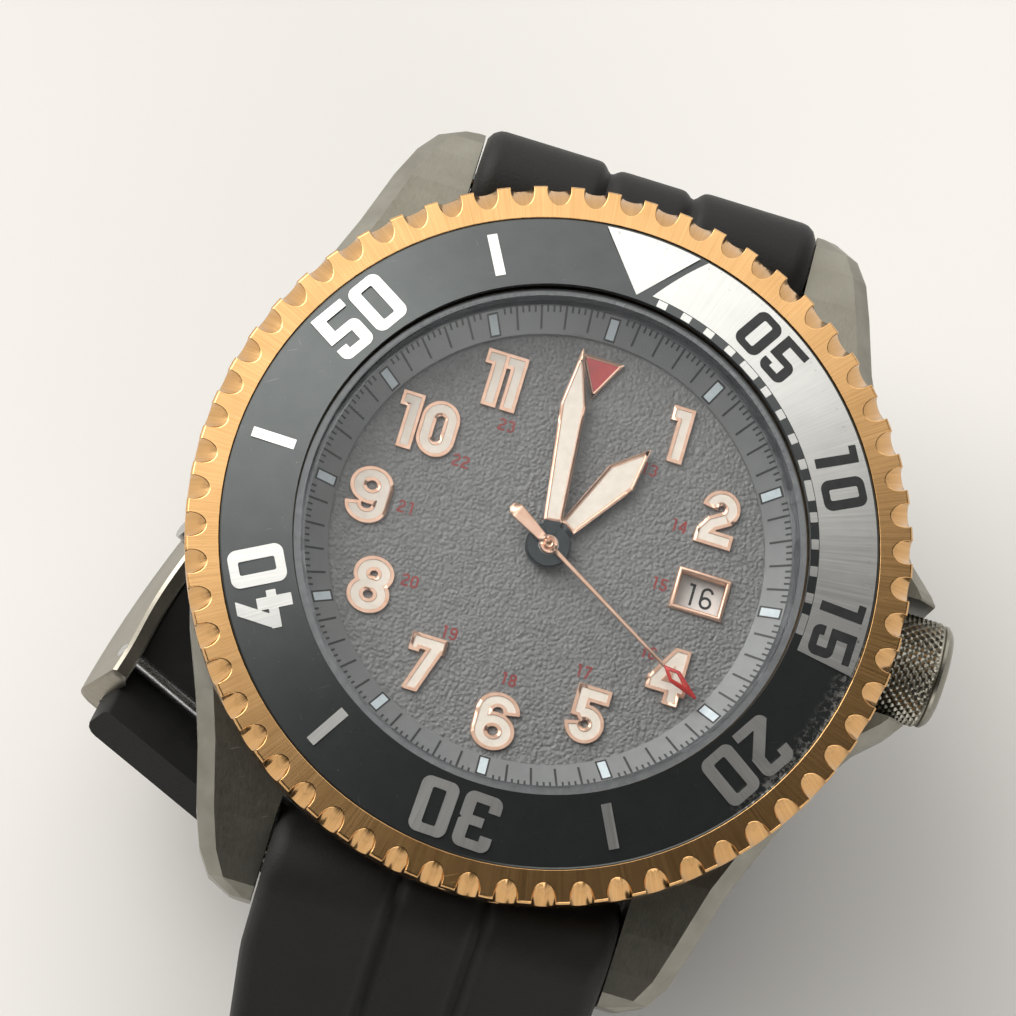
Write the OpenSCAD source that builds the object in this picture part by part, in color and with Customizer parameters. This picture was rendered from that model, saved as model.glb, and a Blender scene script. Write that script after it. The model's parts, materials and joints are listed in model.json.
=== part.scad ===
// Dive watch: round case with a rotating timing bezel, automatic movement,
// rubber strap in two pieces and a folding clasp.
// Z = 0 is the outer face of the case back and +Z points out of the dial.
// +Y points to 12 o'clock and +X to 3 o'clock. Units are millimetres.

/* [Case] */
// Distance between the inner faces of two lugs
lug_gap = 22; // [21.8:0.1:22.2]
// Width of the bright chamfer along the outer edge of the case
case_chamfer = 1.1; // [0.6:0.1:1.4]
// Height of the lug tips above the case back
lug_tip_z = 3.9; // [3.4:0.1:4.4]
// Diameter of the crown
crown_d = 6.8; // [6.0:0.1:7.0]
// Number of grip grooves round the crown
crown_grooves = 36; // [24:1:44]
// How far the crown can be pulled out to set the time
crown_travel = 1.2; // [0.8:0.1:1.5]

/* [Bezel] */
// Outer diameter of the bezel, the widest round part
bezel_d = 44; // [43.8:0.1:44.4]
// Number of scalloped grips round the bezel
scallops = 60; // [40:1:64]
// Radius of the cutter that makes one scallop
scallop_r = 0.72; // [0.5:0.02:0.76]
// Depth of a scallop measured inward from the outer edge
scallop_depth = 1.3; // [0.7:0.05:1.35]
// Height by which the inner edge of the insert stands above its outer edge
insert_rise = 0.75; // [0.3:0.05:0.9]

/* [Dial and hands] */
// Radius of the circle on which the hour numerals sit
numeral_r = 10.75; // [10.4:0.05:11]
// Height of the raised hour numerals
numeral_h = 0.25; // [0.15:0.05:0.35]
// Length of the hour hand from the centre
hour_len = 8.8; // [7.5:0.1:9.2]
// Length of the minute hand from the centre
minute_len = 12.5; // [11.5:0.1:13]
// Length of the second hand from the centre
second_len = 12.9; // [12:0.1:13]

/* [Strap and clasp] */
// Thickness of the strap where it leaves the lugs
strap_t = 4.6; // [4:0.1:4.8]
// Thickness of the strap along its length
strap_thin = 3; // [2.4:0.1:3.4]
// Length of the long strap piece from its spring bar
strap_lower_len = 112; // [100:1:125]
// Number of adjusting holes in the long strap piece
strap_holes = 7; // [5:1:8]
// Outer width of the clasp
clasp_w = 24.2; // [24.1:0.1:24.8]

/* [Hidden] */
$fn = 64;

titanium = [0.62, 0.61, 0.58];
gold = [0.80, 0.55, 0.35];
steel = [0.72, 0.73, 0.75];
brass = [0.78, 0.64, 0.34];
black = [0.08, 0.08, 0.08];
slate = [0.18, 0.21, 0.23];
cream = [0.93, 0.90, 0.84];

eps = 0.02;
bezel_r = bezel_d / 2;
insert_r = bezel_r - 2.05;
insert_in_r = 15.6;
bezel_bottom_z = 8.15;
bezel_top_z = 11.05;
insert_t = 0.55;
scallop_foot_drop = 1.35;

neck_r = 17.6;
neck_top_z = 10.2;
case_top_z = 8;
case_bottom_z = 1.4;
wall_r = 19;
case_core_r = 20.4;
bore_r = 15.2;
crystal_r = 15.1;
seat_z = 9.5;

// Half-width of the case at each distance from the 3-9 line, left side
flank_left = [
    [0, 21.4], [4, 21.2], [8, 20.2], [10.3, 19.5], [14.2, 17.9], [17, 16.9],
    [20.8, 15.8], [23.1, 14.9], [24.5, 13.9], [25.3, 12.3]
];
// The same on the right side, which swells into the crown guards
flank_right = [
    [0, 24], [3.9, 24], [4.4, 23.6], [6, 21.9], [8.4, 20.3], [10.3, 19.3],
    [14.2, 17.6], [17, 16.5], [20.8, 15.5], [23.1, 14.8], [24.5, 13.9],
    [25.3, 12.3]
];
lug_bottom_z = 0.5;

crown_z = 4.5;
crown_face_x = 25.8;
crown_in_x = 21;
guard_gap = 3.75;

bar_y = 22.3;
bar_z = 3;
bar_r = 0.9;
bar_tip_r = 0.5;
boss_r = 3.6;
strap_w = lug_gap - 0.3;
fit = 0.05;

dial_top_z = 7.9;
dial_bottom_z = 7.4;
date_x = 9.75;

// Going train: both pairs share the same centre distance
train_d = 4.32;
third_dir = -100;
escape_d = 4.235;
escape_dir = -35;
barrel_d = 5.85;
barrel_dir = 130;
motion_d = 3.2;
motion_dir = 60;
balance_x = 6.6;
balance_y = -7;
cock_x = 10.6;
cock_y = -5.5;
pallet_x = 5.1;
pallet_y = -4.6;
third_x = train_d * cos(third_dir);
third_y = train_d * sin(third_dir);
escape_x = escape_d * cos(escape_dir);
escape_y = escape_d * sin(escape_dir);
barrel_x = barrel_d * cos(barrel_dir);
barrel_y = barrel_d * sin(barrel_dir);
plate_r = 12.95;
plate_z0 = 5.9;
plate_z1 = 6.9;
bridge_z0 = 2.75;
bridge_z1 = 3.45;

// Path of the short strap piece: it hangs from the 12 o'clock lugs, curls
// back under the case, swings to the left and leans over
upper_len = 27.6;
upper_bend = [0, 11.5];
upper_fall = -84;
upper_turn = -155.4;
upper_yaw = 31;
upper_roll = 23.9;
upper_steps = 24;
clasp_r = 25.3;
clasp_arc = 62;
clasp_end = 57;
clasp_strap_t = 2;
clasp_plate_t = 0.8;
clasp_bar_at = 4;
clasp_hinge_at = 52;
clasp_hinge_v = -2.2;
clasp_button_at = 28;
clasp_button_r = 0.8;

// Path of the long strap piece: it slopes out from the 6 o'clock lugs and
// runs out flat
lower_fall = -45;
lower_bend = [21.4, 45.4];
lower_steps = 40;
hole_r = 1.1;
hole_pitch = 6.5;
hole_tip_gap = 14;

function ramp(s, a, b) = s <= a ? 0 : s >= b ? 1 : (s - a) / (b - a);

// Position of a point at radius r in compass direction a from 12 o'clock
function clock(r, a) = [r * sin(a), r * cos(a)];

// Surface through closed rings of equal point count, each listed in the
// positive turning sense about the direction in which the rings follow on
module skin(rings) {
    n = len(rings[0]);
    m = len(rings);
    points = [for (ring = rings) each ring];
    sides = [
        for (i = [0:m - 2], j = [0:n - 1])
        let (k = (j + 1) % n)
        each [
            [i * n + j, (i + 1) * n + k, i * n + k],
            [i * n + j, (i + 1) * n + j, (i + 1) * n + k]
        ]
    ];
    first = [for (j = [0:n - 1]) j];
    last = [for (j = [n - 1:-1:0]) (m - 1) * n + j];
    polyhedron(points = points, faces = concat([first], sides, [last]));
}

// Flat ring with a rectangular section
module ring(r_out, r_in, z0, z1) {
    translate([0, 0, z0])
    difference() {
        cylinder(r = r_out, h = z1 - z0);
        translate([0, 0, -1])
        cylinder(r = r_in, h = z1 - z0 + 2);
    }
}

module disc(r, z0, z1) {
    translate([0, 0, z0])
    cylinder(r = r, h = z1 - z0);
}

// Pointed-tooth gear outline: tooth k sits at angle k * 360 / teeth
module toothed(teeth, pitch_r, z0, z1) {
    module_mm = 2 * pitch_r / teeth;
    tip_r = pitch_r + 0.85 * module_mm;
    root_r = pitch_r - 1.1 * module_mm;
    outline = [
        for (k = [0:teeth - 1])
        each [
            tip_r * [cos(k * 360 / teeth), sin(k * 360 / teeth)],
            root_r * [cos((k + 0.5) * 360 / teeth), sin((k + 0.5) * 360 / teeth)]
        ]
    ];
    translate([0, 0, z0])
    linear_extrude(height = z1 - z0)
    polygon(outline);
}

// One side of the case as a run of chamfered sections along Y
module case_side(flank, side) {
    n = len(flank);
    stations = concat(
        [for (i = [n - 1:-1:1]) [-flank[i][0], flank[i][1]]],
        flank
    );
    rings = [
        for (st = stations)
        let (
            y = st[0],
            far = abs(y),
            top = case_top_z - 0.35 - (case_top_z - 0.35 - lug_tip_z) * pow(ramp(far, 12, 25.3), 1.35),
            low = case_bottom_z - (case_bottom_z - lug_bottom_z) * ramp(far, 15, 22),
            c = min(case_chamfer, (top - low) / 4),
            tip = far > 24.9 ? 0.5 : 0
        )
        [
            [side * 10.5, y, low + tip],
            [side * (st[1] - 0.5), y, low + tip],
            [side * st[1], y, low + 0.5 + tip],
            [side * st[1], y, top - c],
            [side * (st[1] - c), y, top - tip],
            [side * 10.5, y, top - tip]
        ]
    ];
    if (side > 0) {
        skin([for (r = rings) [for (k = [5:-1:0]) r[k]]]);
    } else {
        skin(rings);
    }
}

module mid_case() {
    color(titanium)
    difference() {
        union() {
            disc(case_core_r, case_bottom_z, case_top_z - 0.4);
            disc(wall_r, case_top_z - 0.5, case_top_z);
            disc(neck_r, case_top_z - eps, neck_top_z);
            case_side(flank_right, 1);
            case_side(flank_left, -1);
        }
        // straight inner faces of the lugs and curved end walls between them
        for (side = [-1, 1]) {
            difference() {
                translate([-lug_gap / 2, side > 0 ? 0 : -30, -1])
                cube([lug_gap, 30, 12]);
                disc(wall_r, -2, 12);
            }
        }
        // dial opening, movement bore and case back plug bore
        disc(bore_r, -1, 12);
        disc(crystal_r + 0.4, seat_z, 12);
        disc(15.95, -1, 2.7);
        // gasket grooves
        ring(17.15, 16.35, 1, 1.85);
        ring(neck_r + 1, 17.1, 9, 9.5);
        // pocket for the click spring
        ring(18.75, 17.85, 7.5, 9);
        // crown space, then the bore for the crown tube
        translate([20.6, -guard_gap, -1])
        cube([8, 2 * guard_gap, 12]);
        translate([14, 0, crown_z])
        rotate([0, 90, 0])
        cylinder(r = 1.26, h = 8);
        // blind holes for the spring bar tips
        for (y = [-bar_y, bar_y], side = [-1, 1]) {
            translate([side * 9, y, bar_z])
            rotate([0, side * 90, 0])
            cylinder(r = bar_tip_r + fit, h = 3.8);
        }
    }
}

module case_back() {
    color(titanium)
    difference() {
        union() {
            disc(17.4, 0.5, 1.4);
                cylinder(r1 = 16.9, r2 = 17.4, h = 0.5);
            disc(15.9, 1.4 - eps, 2.6);
        }
        disc(14.7, 1, 3);
        // notches for the case back wrench
        for (a = [0:60:300]) {
            rotate([0, 0, a])
            translate([15.9, -0.8, -1])
            cube([3, 1.6, 1.9]);
        }
    }
}

module case_back_gasket() {
    color(black)
    ring(17.1, 16.4, 1.4, 1.8);
}

module bezel_ring() {
    color(gold)
    difference() {
        rotate_extrude()
        polygon([
            [17.65, bezel_bottom_z], [bezel_r - 0.35, bezel_bottom_z],
            [bezel_r, bezel_bottom_z + 0.5], [bezel_r, bezel_top_z - 0.15],
            [bezel_r - 0.15, bezel_top_z], [insert_r, bezel_top_z],
            [insert_r, bezel_top_z - insert_t - 0.05],
            [insert_in_r + 0.15, bezel_top_z - insert_t - 0.05 + insert_rise],
            [insert_in_r + 0.15, neck_top_z + 0.1],
            [17.65, neck_top_z + 0.1]
        ]);
        for (k = [0:scallops - 1]) {
            rotate([0, 0, (k + 0.5) * 360 / scallops])
            translate([bezel_r - scallop_depth, 0, bezel_top_z])
            rotate([0, -atan(scallop_depth / scallop_foot_drop), 0])
            translate([scallop_r, 0, -5])
            cylinder(r = scallop_r, h = 10, $fn = 16);
        }
    }
}

module bezel_insert() {
    color(slate)
    rotate_extrude()
    polygon([
        [insert_r - 0.03, bezel_top_z - insert_t - 0.03],
        [insert_r - 0.03, bezel_top_z - 0.05],
        [insert_r - 0.13, bezel_top_z + 0.03],
        [insert_in_r, bezel_top_z + insert_rise],
        [insert_in_r, bezel_top_z - insert_t - 0.03 + insert_rise],
        [insert_in_r + 0.15, bezel_top_z - insert_t - 0.03 + insert_rise]
    ]);
}

module bezel_click_spring() {
    color(steel)
    union() {
        ring(18.65, 17.95, 7.5, 7.75);
        // spring tongue that rises against the bezel
        rotate([0, 0, 45])
        translate([17.95, -0.6, 7.7])
        cube([0.68, 1.2, 0.4]);
    }
}

module bezel_gasket() {
    color(black)
    ring(17.6, 17.1, 9, 9.5);
}

module crystal() {
    color([0.85, 0.9, 0.95, 0.3])
    union() {
        disc(crystal_r, 9.7, 11.65);
        translate([0, 0, 11.65])
        cylinder(r1 = crystal_r, r2 = crystal_r - 0.25, h = 0.25);
    }
}

module crystal_gasket() {
    color(black)
    union() {
        ring(crystal_r + 0.4, 14.8, seat_z, 9.7);
        ring(crystal_r + 0.4, crystal_r, 9.7 - eps, 10.9);
    }
}

module chapter_ring() {
    color([0.42, 0.43, 0.43])
    rotate_extrude()
    polygon([
        [13.35, dial_top_z], [15.15, dial_top_z], [15.15, seat_z],
        [14.95, seat_z], [13.35, dial_top_z + 0.3]
    ]);
}

module dial() {
    color([0.45, 0.46, 0.46])
    difference() {
        disc(14.9, dial_bottom_z, dial_top_z);
        disc(1, 7, 9);
        translate([date_x - 1.4, -1.05, 7])
        cube([2.8, 2.1, 2]);
    }
}

module date_frame() {
    color(gold)
    difference() {
        translate([date_x - 1.7, -1.35, dial_top_z])
        cube([3.4, 2.7, 0.15]);
        translate([date_x - 1.4, -1.05, 7])
        cube([2.8, 2.1, 2]);
    }
}

module hour_numerals() {
    color(cream)
    for (h = [1, 2, 4, 5, 6, 7, 8, 9, 10, 11]) {
        wide = h > 9 ? 3.5 : 2.3;
        translate(concat(clock(numeral_r, 30 * h), [dial_top_z]))
        translate([-wide / 2, -1.7, 0])
        cube([wide, 3.4, numeral_h]);
    }
}

module twelve_marker() {
    color([0.7, 0.12, 0.1])
    translate([0, 11.15, dial_top_z])
    linear_extrude(height = 0.3)
    polygon([[-1.4, 1.2], [1.4, 1.2], [0, -1.5]]);
}

// Leaf-shaped hand lying along +Y, with a hole for its pipe
module leaf(length, wide_at, half_w, z0, z1, hub_r, hole_r_in, neck_w) {
    difference() {
        union() {
            translate([0, 0, z0])
            linear_extrude(height = z1 - z0)
            polygon([
                [-neck_w, 0], [-half_w, wide_at], [-0.08, length],
                [0.08, length], [half_w, wide_at], [neck_w, 0]
            ]);
            disc(hub_r, z0, z1);
        }
        disc(hole_r_in, z0 - 1, z1 + 1);
    }
}

module hour_hand() {
    color(gold)
    rotate([0, 0, -30])
    leaf(hour_len, 6.2, 1.1, 8.4, 8.6, 1.35, 0.91, 0.5);
}

module minute_hand() {
    color(gold)
    rotate([0, 0, 6.2])
    leaf(minute_len, 8.95, 0.82, 8.75, 8.95, 1.1, 0.63, 0.45);
}

module second_hand() {
    color(gold)
    rotate([0, 0, -120.2])
    union() {
        translate([0, 0, 9.1])
        linear_extrude(height = 0.15)
        polygon([
            [-0.09, 0], [-0.09, 10.3], [-0.42, 10.3], [0, second_len],
            [0.42, 10.3], [0.09, 10.3], [0.09, 0]
        ]);
        translate([0, 0, 9.1])
        linear_extrude(height = 0.15)
        polygon([[0.09, 0], [0.36, -2.6], [0, -3.3], [-0.36, -2.6], [-0.09, 0]]);
        disc(0.65, 9.1, 9.35);
        disc(0.24, 9.35 - eps, 9.5);
    }
}

module date_disc() {
    color([0.95, 0.95, 0.93])
    ring(12.4, 8.2, 6.95, 7.15);
}

module hour_wheel() {
    color(brass)
    difference() {
        union() {
            rotate([0, 0, motion_dir])
            toothed(40, 2.56, 7.17, 7.3);
            disc(0.9, 7.17, 8.62);
        }
        disc(0.67, 6, 10);
    }
}

module minute_wheel() {
    color(brass)
    translate([motion_d * cos(motion_dir), motion_d * sin(motion_dir), 0])
    difference() {
        union() {
            rotate([0, 0, motion_dir + 180 + 5])
            toothed(36, 2.4, 6.95, 7.08);
            rotate([0, 0, motion_dir + 180 + 18])
            toothed(10, 0.64, 7.08 - eps, 7.3);
        }
        disc(0.25, 6, 8);
    }
}

module cannon_pinion() {
    color(steel)
    difference() {
        union() {
            rotate([0, 0, motion_dir])
            toothed(12, 0.8, 6.93, 7.1);
            disc(0.62, 6.93, 8.97);
        }
        disc(0.42, 6, 10);
    }
}

module centre_wheel() {
    color(brass)
    difference() {
        union() {
            rotate([0, 0, third_dir])
            toothed(64, 3.84, 4.3, 4.5);
            rotate([0, 0, barrel_dir])
            toothed(10, 0.65, 4.5 - eps, 5.1);
            disc(0.41, 5, 8.4);
        }
        disc(0.2, 4, 9);
    }
}

module third_wheel() {
    color(brass)
    translate([third_x, third_y, 0])
    union() {
        rotate([0, 0, third_dir + 180])
        toothed(60, 3.8118, 3.7, 3.9);
        rotate([0, 0, third_dir + 180 + 22.5])
        toothed(8, 0.48, 4.25, 4.55);
        disc(0.15, 3, 6.3);
    }
}

module fourth_wheel() {
    color(brass)
    union() {
        rotate([0, 0, third_dir + 22.5])
        toothed(8, 0.5082, 3.65, 4.02);
        rotate([0, 0, escape_dir])
        toothed(70, 3.85, 4, 4.2);
        disc(0.13, 3, 9.1);
    }
}

module escape_wheel() {
    color(steel)
    translate([escape_x, escape_y, 0])
    union() {
        rotate([0, 0, escape_dir + 180 + 180 / 7])
        toothed(7, 0.385, 3.95, 4.25);
        rotate([0, 0, 4])
        toothed(15, 1.7, 5, 5.18);
        disc(0.13, 3, 6.3);
    }
}

module pallet_fork() {
    color(steel)
    translate([pallet_x, pallet_y, 0])
    union() {
        disc(0.15, 5, 6.3);
        rotate([0, 0, atan2(balance_y - pallet_y, balance_x - pallet_x)])
        translate([0, 0, 5])
        linear_extrude(height = 0.18)
        polygon([
            [-0.9, -1.45], [-0.6, -1.45], [0.2, -0.3], [1.9, -0.12],
            [1.9, 0.12], [0.2, 0.3], [-0.6, 1.45], [-0.9, 1.45], [-0.3, 0]
        ]);
    }
}

module balance_wheel() {
    color(brass)
    translate([balance_x, balance_y, 0])
    union() {
        ring(3.2, 2.75, 4.4, 4.7);
        translate([-2.8, -0.2, 4.45])
        cube([5.6, 0.4, 0.2]);
        disc(0.14, 3.4, 6.3);
        disc(0.35, 4.9, 5.2);
        disc(0.3, 4.3, 4.95);
    }
}

module hairspring() {
    turns = 5;
    steps = 110;
    half_w = 0.04;
    function spiral(k, off) = (0.4 + 2 * k / steps + off)
        * [cos(k * 360 * turns / steps), sin(k * 360 * turns / steps)];
    color([0.3, 0.35, 0.6])
    translate([balance_x, balance_y, 4.05])
    difference() {
        union() {
            linear_extrude(height = 0.15)
            polygon(concat(
                [for (k = [0:steps]) spiral(k, half_w)],
                [for (k = [steps:-1:0]) spiral(k, -half_w)]
            ));
            cylinder(r = 0.45, h = 0.15);
        }
        translate([0, 0, -1])
        cylinder(r = 0.15, h = 2);
    }
}

module barrel() {
    color(brass)
    translate([barrel_x, barrel_y, 0])
    difference() {
        union() {
            rotate([0, 0, barrel_dir + 180 + 2.25])
            toothed(80, 5.2, 4.7, 5);
            disc(4.85, 4.7, 5.75);
        }
        disc(0.65, 4, 7);
    }
}

module ratchet_wheel() {
    color(steel)
    translate([barrel_x, barrel_y, 0])
    union() {
        toothed(48, 3.9, 2.42, 2.66);
        disc(0.6, 2.6, 6.2);
    }
}

module main_plate() {
    color(steel)
    difference() {
        disc(plate_r, plate_z0, plate_z1);
        disc(0.46, 5, 8);
        // pivot holes for the train
        for (p = [[third_x, third_y, 0.2], [escape_x, escape_y, 0.18],
                  [pallet_x, pallet_y, 0.2], [balance_x, balance_y, 0.2]]) {
            translate([p[0], p[1], 5])
            cylinder(r = p[2], h = 1.5);
        }
        translate([barrel_x, barrel_y, 5])
        cylinder(r = 0.65, h = 1.3);
    }
    color(steel)
    translate([motion_d * cos(motion_dir), motion_d * sin(motion_dir), 6.8])
    cylinder(r = 0.22, h = 0.52);
}

// Half of the round bridge area, cut by a line that leaves the given side
module bridge_half(keep_up) {
    intersection() {
        disc(12.6, bridge_z0, bridge_z1);
        translate([-15, keep_up ? 1.2 : -16, 0])
        cube([30, keep_up ? 15 : 17, 10]);
    }
}

module bridge_post(x, y) {
    translate([x, y, bridge_z1 - eps])
    cylinder(r = 0.9, h = plate_z0 - bridge_z1 + eps);
}

module barrel_bridge() {
    color(steel)
    difference() {
        union() {
            bridge_half(true);
            bridge_post(-10.6, 4.6);
            bridge_post(3.5, 10.5);
        }
        translate([barrel_x, barrel_y, 2])
        cylinder(r = 0.65, h = 3);
        translate([3.5, 10.5, 2])
        cylinder(r = 0.45, h = 3);
    }
}

module train_bridge() {
    color(steel)
    difference() {
        union() {
            bridge_half(false);
            bridge_post(-10.9, -4.5);
            bridge_post(-4.5, -10.8);
        }
        disc(0.2, 2.95, 4);
        translate([third_x, third_y, 2.95])
        cylinder(r = 0.2, h = 2);
        translate([escape_x, escape_y, 2.95])
        cylinder(r = 0.18, h = 2);
        translate([-4.5, -10.8, 2])
        cylinder(r = 0.45, h = 3);
        // clearance for the balance cock
        translate([balance_x, balance_y, 2])
        cylinder(r = 3.6, h = 3);
        translate([cock_x, cock_y, 2])
        cylinder(r = 1.75, h = 3);
    }
}

module balance_cock() {
    color(steel)
    difference() {
        union() {
            intersection() {
                union() {
                    translate([balance_x, balance_y, bridge_z0])
                    cylinder(r = 3.45, h = bridge_z1 - bridge_z0);
                    translate([cock_x, cock_y, bridge_z0])
                    cylinder(r = 1.6, h = bridge_z1 - bridge_z0);
                }
                disc(12.6, 2, 5);
            }
            bridge_post(cock_x, cock_y);
        }
        translate([balance_x, balance_y, 3.3])
        cylinder(r = 0.2, h = 1);
        translate([cock_x, cock_y, 2])
        cylinder(r = 0.4, h = 3);
    }
}

// Cheese-head screw seen from the case back
module bridge_screw(x, y, r) {
    color([0.35, 0.4, 0.6])
    translate([x, y, 0])
    difference() {
        union() {
            disc(r * 1.7, 2.4, 2.74);
            disc(r - 0.03, 2.7, 4.9);
        }
        translate([-2, -0.1, 2.2])
        cube([4, 0.2, 0.35]);
    }
}

module train_bridge_screw() {
    bridge_screw(-4.5, -10.8, 0.45);
}

module barrel_bridge_screw() {
    bridge_screw(3.5, 10.5, 0.45);
}

module balance_cock_screw() {
    bridge_screw(cock_x, cock_y, 0.4);
}

module rotor_bearing() {
    color(steel)
    union() {
        disc(0.7, 1.6, 2.74);
        disc(1.1, 1.3, 1.62);
    }
}

module rotor() {
    color(steel)
    rotate([0, 0, 200])
    difference() {
        union() {
            intersection() {
                union() {
                    disc(12.4, 1.95, 2.15);
                    ring(12.4, 10.3, 1.35, 2.15);
                }
                translate([-13, 0, 0])
                cube([26, 13, 4]);
            }
            disc(2, 1.7, 2.2);
        }
        disc(0.75, 1, 3);
    }
}

module movement_ring() {
    color([0.85, 0.85, 0.85])
    difference() {
        ring(15.15, 13, 3, 7.3);
        translate([12, 0, crown_z])
        rotate([0, 90, 0])
        cylinder(r = 1.3, h = 4);
    }
}

module crown() {
    teeth = crown_grooves;
    r_out = crown_d / 2;
    outline = [
        for (k = [0:teeth - 1])
        each [
            r_out * [cos(k * 360 / teeth), sin(k * 360 / teeth)],
            (r_out - 0.22) * [cos((k + 0.5) * 360 / teeth), sin((k + 0.5) * 360 / teeth)]
        ]
    ];
    color(titanium)
    translate([0, 0, crown_z])
    rotate([0, 90, 0])
    difference() {
        union() {
            translate([0, 0, crown_in_x])
            cylinder(r1 = r_out - 0.5, r2 = r_out - 0.25, h = 0.4);
            translate([0, 0, crown_in_x + 0.4 - eps])
            linear_extrude(height = 3.4)
            polygon(outline);
            translate([0, 0, crown_in_x + 3.8 - 2 * eps])
            cylinder(r1 = r_out - 0.05, r2 = r_out - 0.55, h = crown_face_x - crown_in_x - 3.8);
        }
        translate([0, 0, crown_in_x - 1])
        cylinder(r = 1.75, h = 3.6);
        translate([0, 0, crown_in_x + 1])
        cylinder(r = 0.46, h = 2.9);
    }
}

module crown_tube() {
    color(steel)
    translate([14.9, 0, crown_z])
    rotate([0, 90, 0])
    difference() {
        cylinder(r = 1.25, h = 8);
        translate([0, 0, -1])
        cylinder(r = 0.6, h = 10);
    }
}

module crown_gasket() {
    color(black)
    translate([21.15, 0, crown_z])
    rotate([0, 90, 0])
    difference() {
        cylinder(r = 1.72, h = 0.6);
        translate([0, 0, -1])
        cylinder(r = 1.27, h = 3);
    }
}

module winding_stem() {
    color(steel)
    translate([9.6, 0, crown_z])
    rotate([0, 90, 0])
    union() {
        cylinder(r = 0.45, h = 15.2);
        cylinder(r = 0.8, h = 1.6);
    }
}

// Spring bar along X with a thinner tip at each end
module spring_bar(y) {
    color(steel)
    translate([0, y, bar_z])
    rotate([0, 90, 0])
    union() {
        translate([0, 0, 0.1 - lug_gap / 2])
        cylinder(r = bar_r, h = lug_gap - 0.2);
        translate([0, 0, -12.6])
        cylinder(r = bar_tip_r, h = 25.2);
    }
}

module spring_bar_upper() {
    spring_bar(bar_y);
}

module spring_bar_lower() {
    spring_bar(-bar_y);
}

// Section of the strap: eight corners across width w and thickness t
function strap_ring(f, w, t) = let (
    p = f[0], a = f[2], b = cross(f[2], f[1]), u = w / 2, v = t / 2,
    c = min(0.7, t / 4)
) [
    for (q = [[-u, -v + c], [-u, v - 1.4 * c], [-u + c, v - 0.35 * c],
              [-u + 3 * c, v], [u - 3 * c, v], [u - c, v - 0.35 * c],
              [u, v - 1.4 * c], [u, -v + c], [u - c, -v], [-u + c, -v]])
    p + q[0] * a + q[1] * b
];

// Direction and width vector of the short strap at length s
function upper_dir(s) = let (
    h = upper_fall + (upper_turn - upper_fall) * ramp(s, upper_bend[0], upper_bend[1]),
    y = upper_yaw * ramp(s, upper_bend[0], upper_len),
    r = upper_roll * ramp(s, upper_bend[0] + 4, upper_len),
    d = [sin(y) * cos(h), cos(y) * cos(h), sin(h)],
    w = [cos(y), -sin(y), 0]
) [d, cos(r) * w + sin(r) * cross(w, d)];

upper_step = upper_len / upper_steps;
upper_start = [0, bar_y + 1.3, bar_z];
upper_points = [
    for (i = 0, p = upper_start; i <= upper_steps;
         p = p + upper_step * upper_dir((i + 0.5) * upper_step)[0], i = i + 1) p
];
upper_frames = [
    for (i = [0:upper_steps])
    let (f = upper_dir(i * upper_step)) [upper_points[i], f[0], f[1]]
];

// Frame at angle a along the clasp arc, which curls towards the wrist side
clasp_base = upper_frames[upper_steps];
function clasp_frame(a) = let (
    p = clasp_base[0], d = clasp_base[1], w = clasp_base[2],
    n = cross(w, d)
) [
    p + clasp_r * (sin(a) * d - (1 - cos(a)) * n),
    cos(a) * d - sin(a) * n, w
];
function upper_thick(s) = strap_t + (clasp_strap_t - strap_t) * ramp(s, 1, 26);

// Lay children out in the clasp's own frame: X along the width, Y along the
// strap and Z away from the wrist
module at_clasp(a) {
    f = clasp_frame(a);
    n = cross(f[2], f[1]);
    multmatrix([
        [f[2][0], f[1][0], n[0], f[0][0]],
        [f[2][1], f[1][1], n[1], f[0][1]],
        [f[2][2], f[1][2], n[2], f[0][2]],
        [0, 0, 0, 1]
    ])
    children();
}

// Curved bar of rectangular section that follows the clasp arc: from height
// v0 to v1 away from the wrist, u0 to u1 across, angles a0 to a1
module clasp_bar(u0, u1, v0, v1, a0, a1) {
    at_clasp(0)
    translate([0, 0, -clasp_r])
    rotate([0, 90, 0])
    rotate([0, 0, 180 - a1])
    rotate_extrude(angle = a1 - a0)
    translate([clasp_r, 0])
    polygon([[v0, u0], [v1, u0], [v1, u1], [v0, u1]]);
}

module strap_upper() {
    color(black)
    difference() {
        union() {
            translate([-strap_w / 2, bar_y, bar_z])
            rotate([0, 90, 0])
            cylinder(r = boss_r, h = strap_w);
            skin([
                for (i = [0:upper_steps])
                let (s = i * upper_step)
                strap_ring(upper_frames[i], strap_w, upper_thick(s))
            ]);
            skin([
                for (a = [-2:4:clasp_arc])
                strap_ring(clasp_frame(a), strap_w, clasp_strap_t)
            ]);
        }
        disc(21.6, -5, 12);
        translate([-strap_w, bar_y, bar_z])
        rotate([0, 90, 0])
        cylinder(r = bar_r + fit, h = 2 * strap_w);
        at_clasp(clasp_bar_at)
        translate([-strap_w, 0, 0])
        rotate([0, 90, 0])
        cylinder(r = 0.6 + fit, h = 2 * strap_w);
        // reliefs that let the two clasp buttons move inward
        for (side = [-1, 1]) {
            at_clasp(clasp_button_at)
            translate([side * 9.8, 0, 0])
            rotate([0, side * 90, 0])
            cylinder(r = clasp_button_r + 0.2, h = 4);
        }
    }
}

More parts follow.
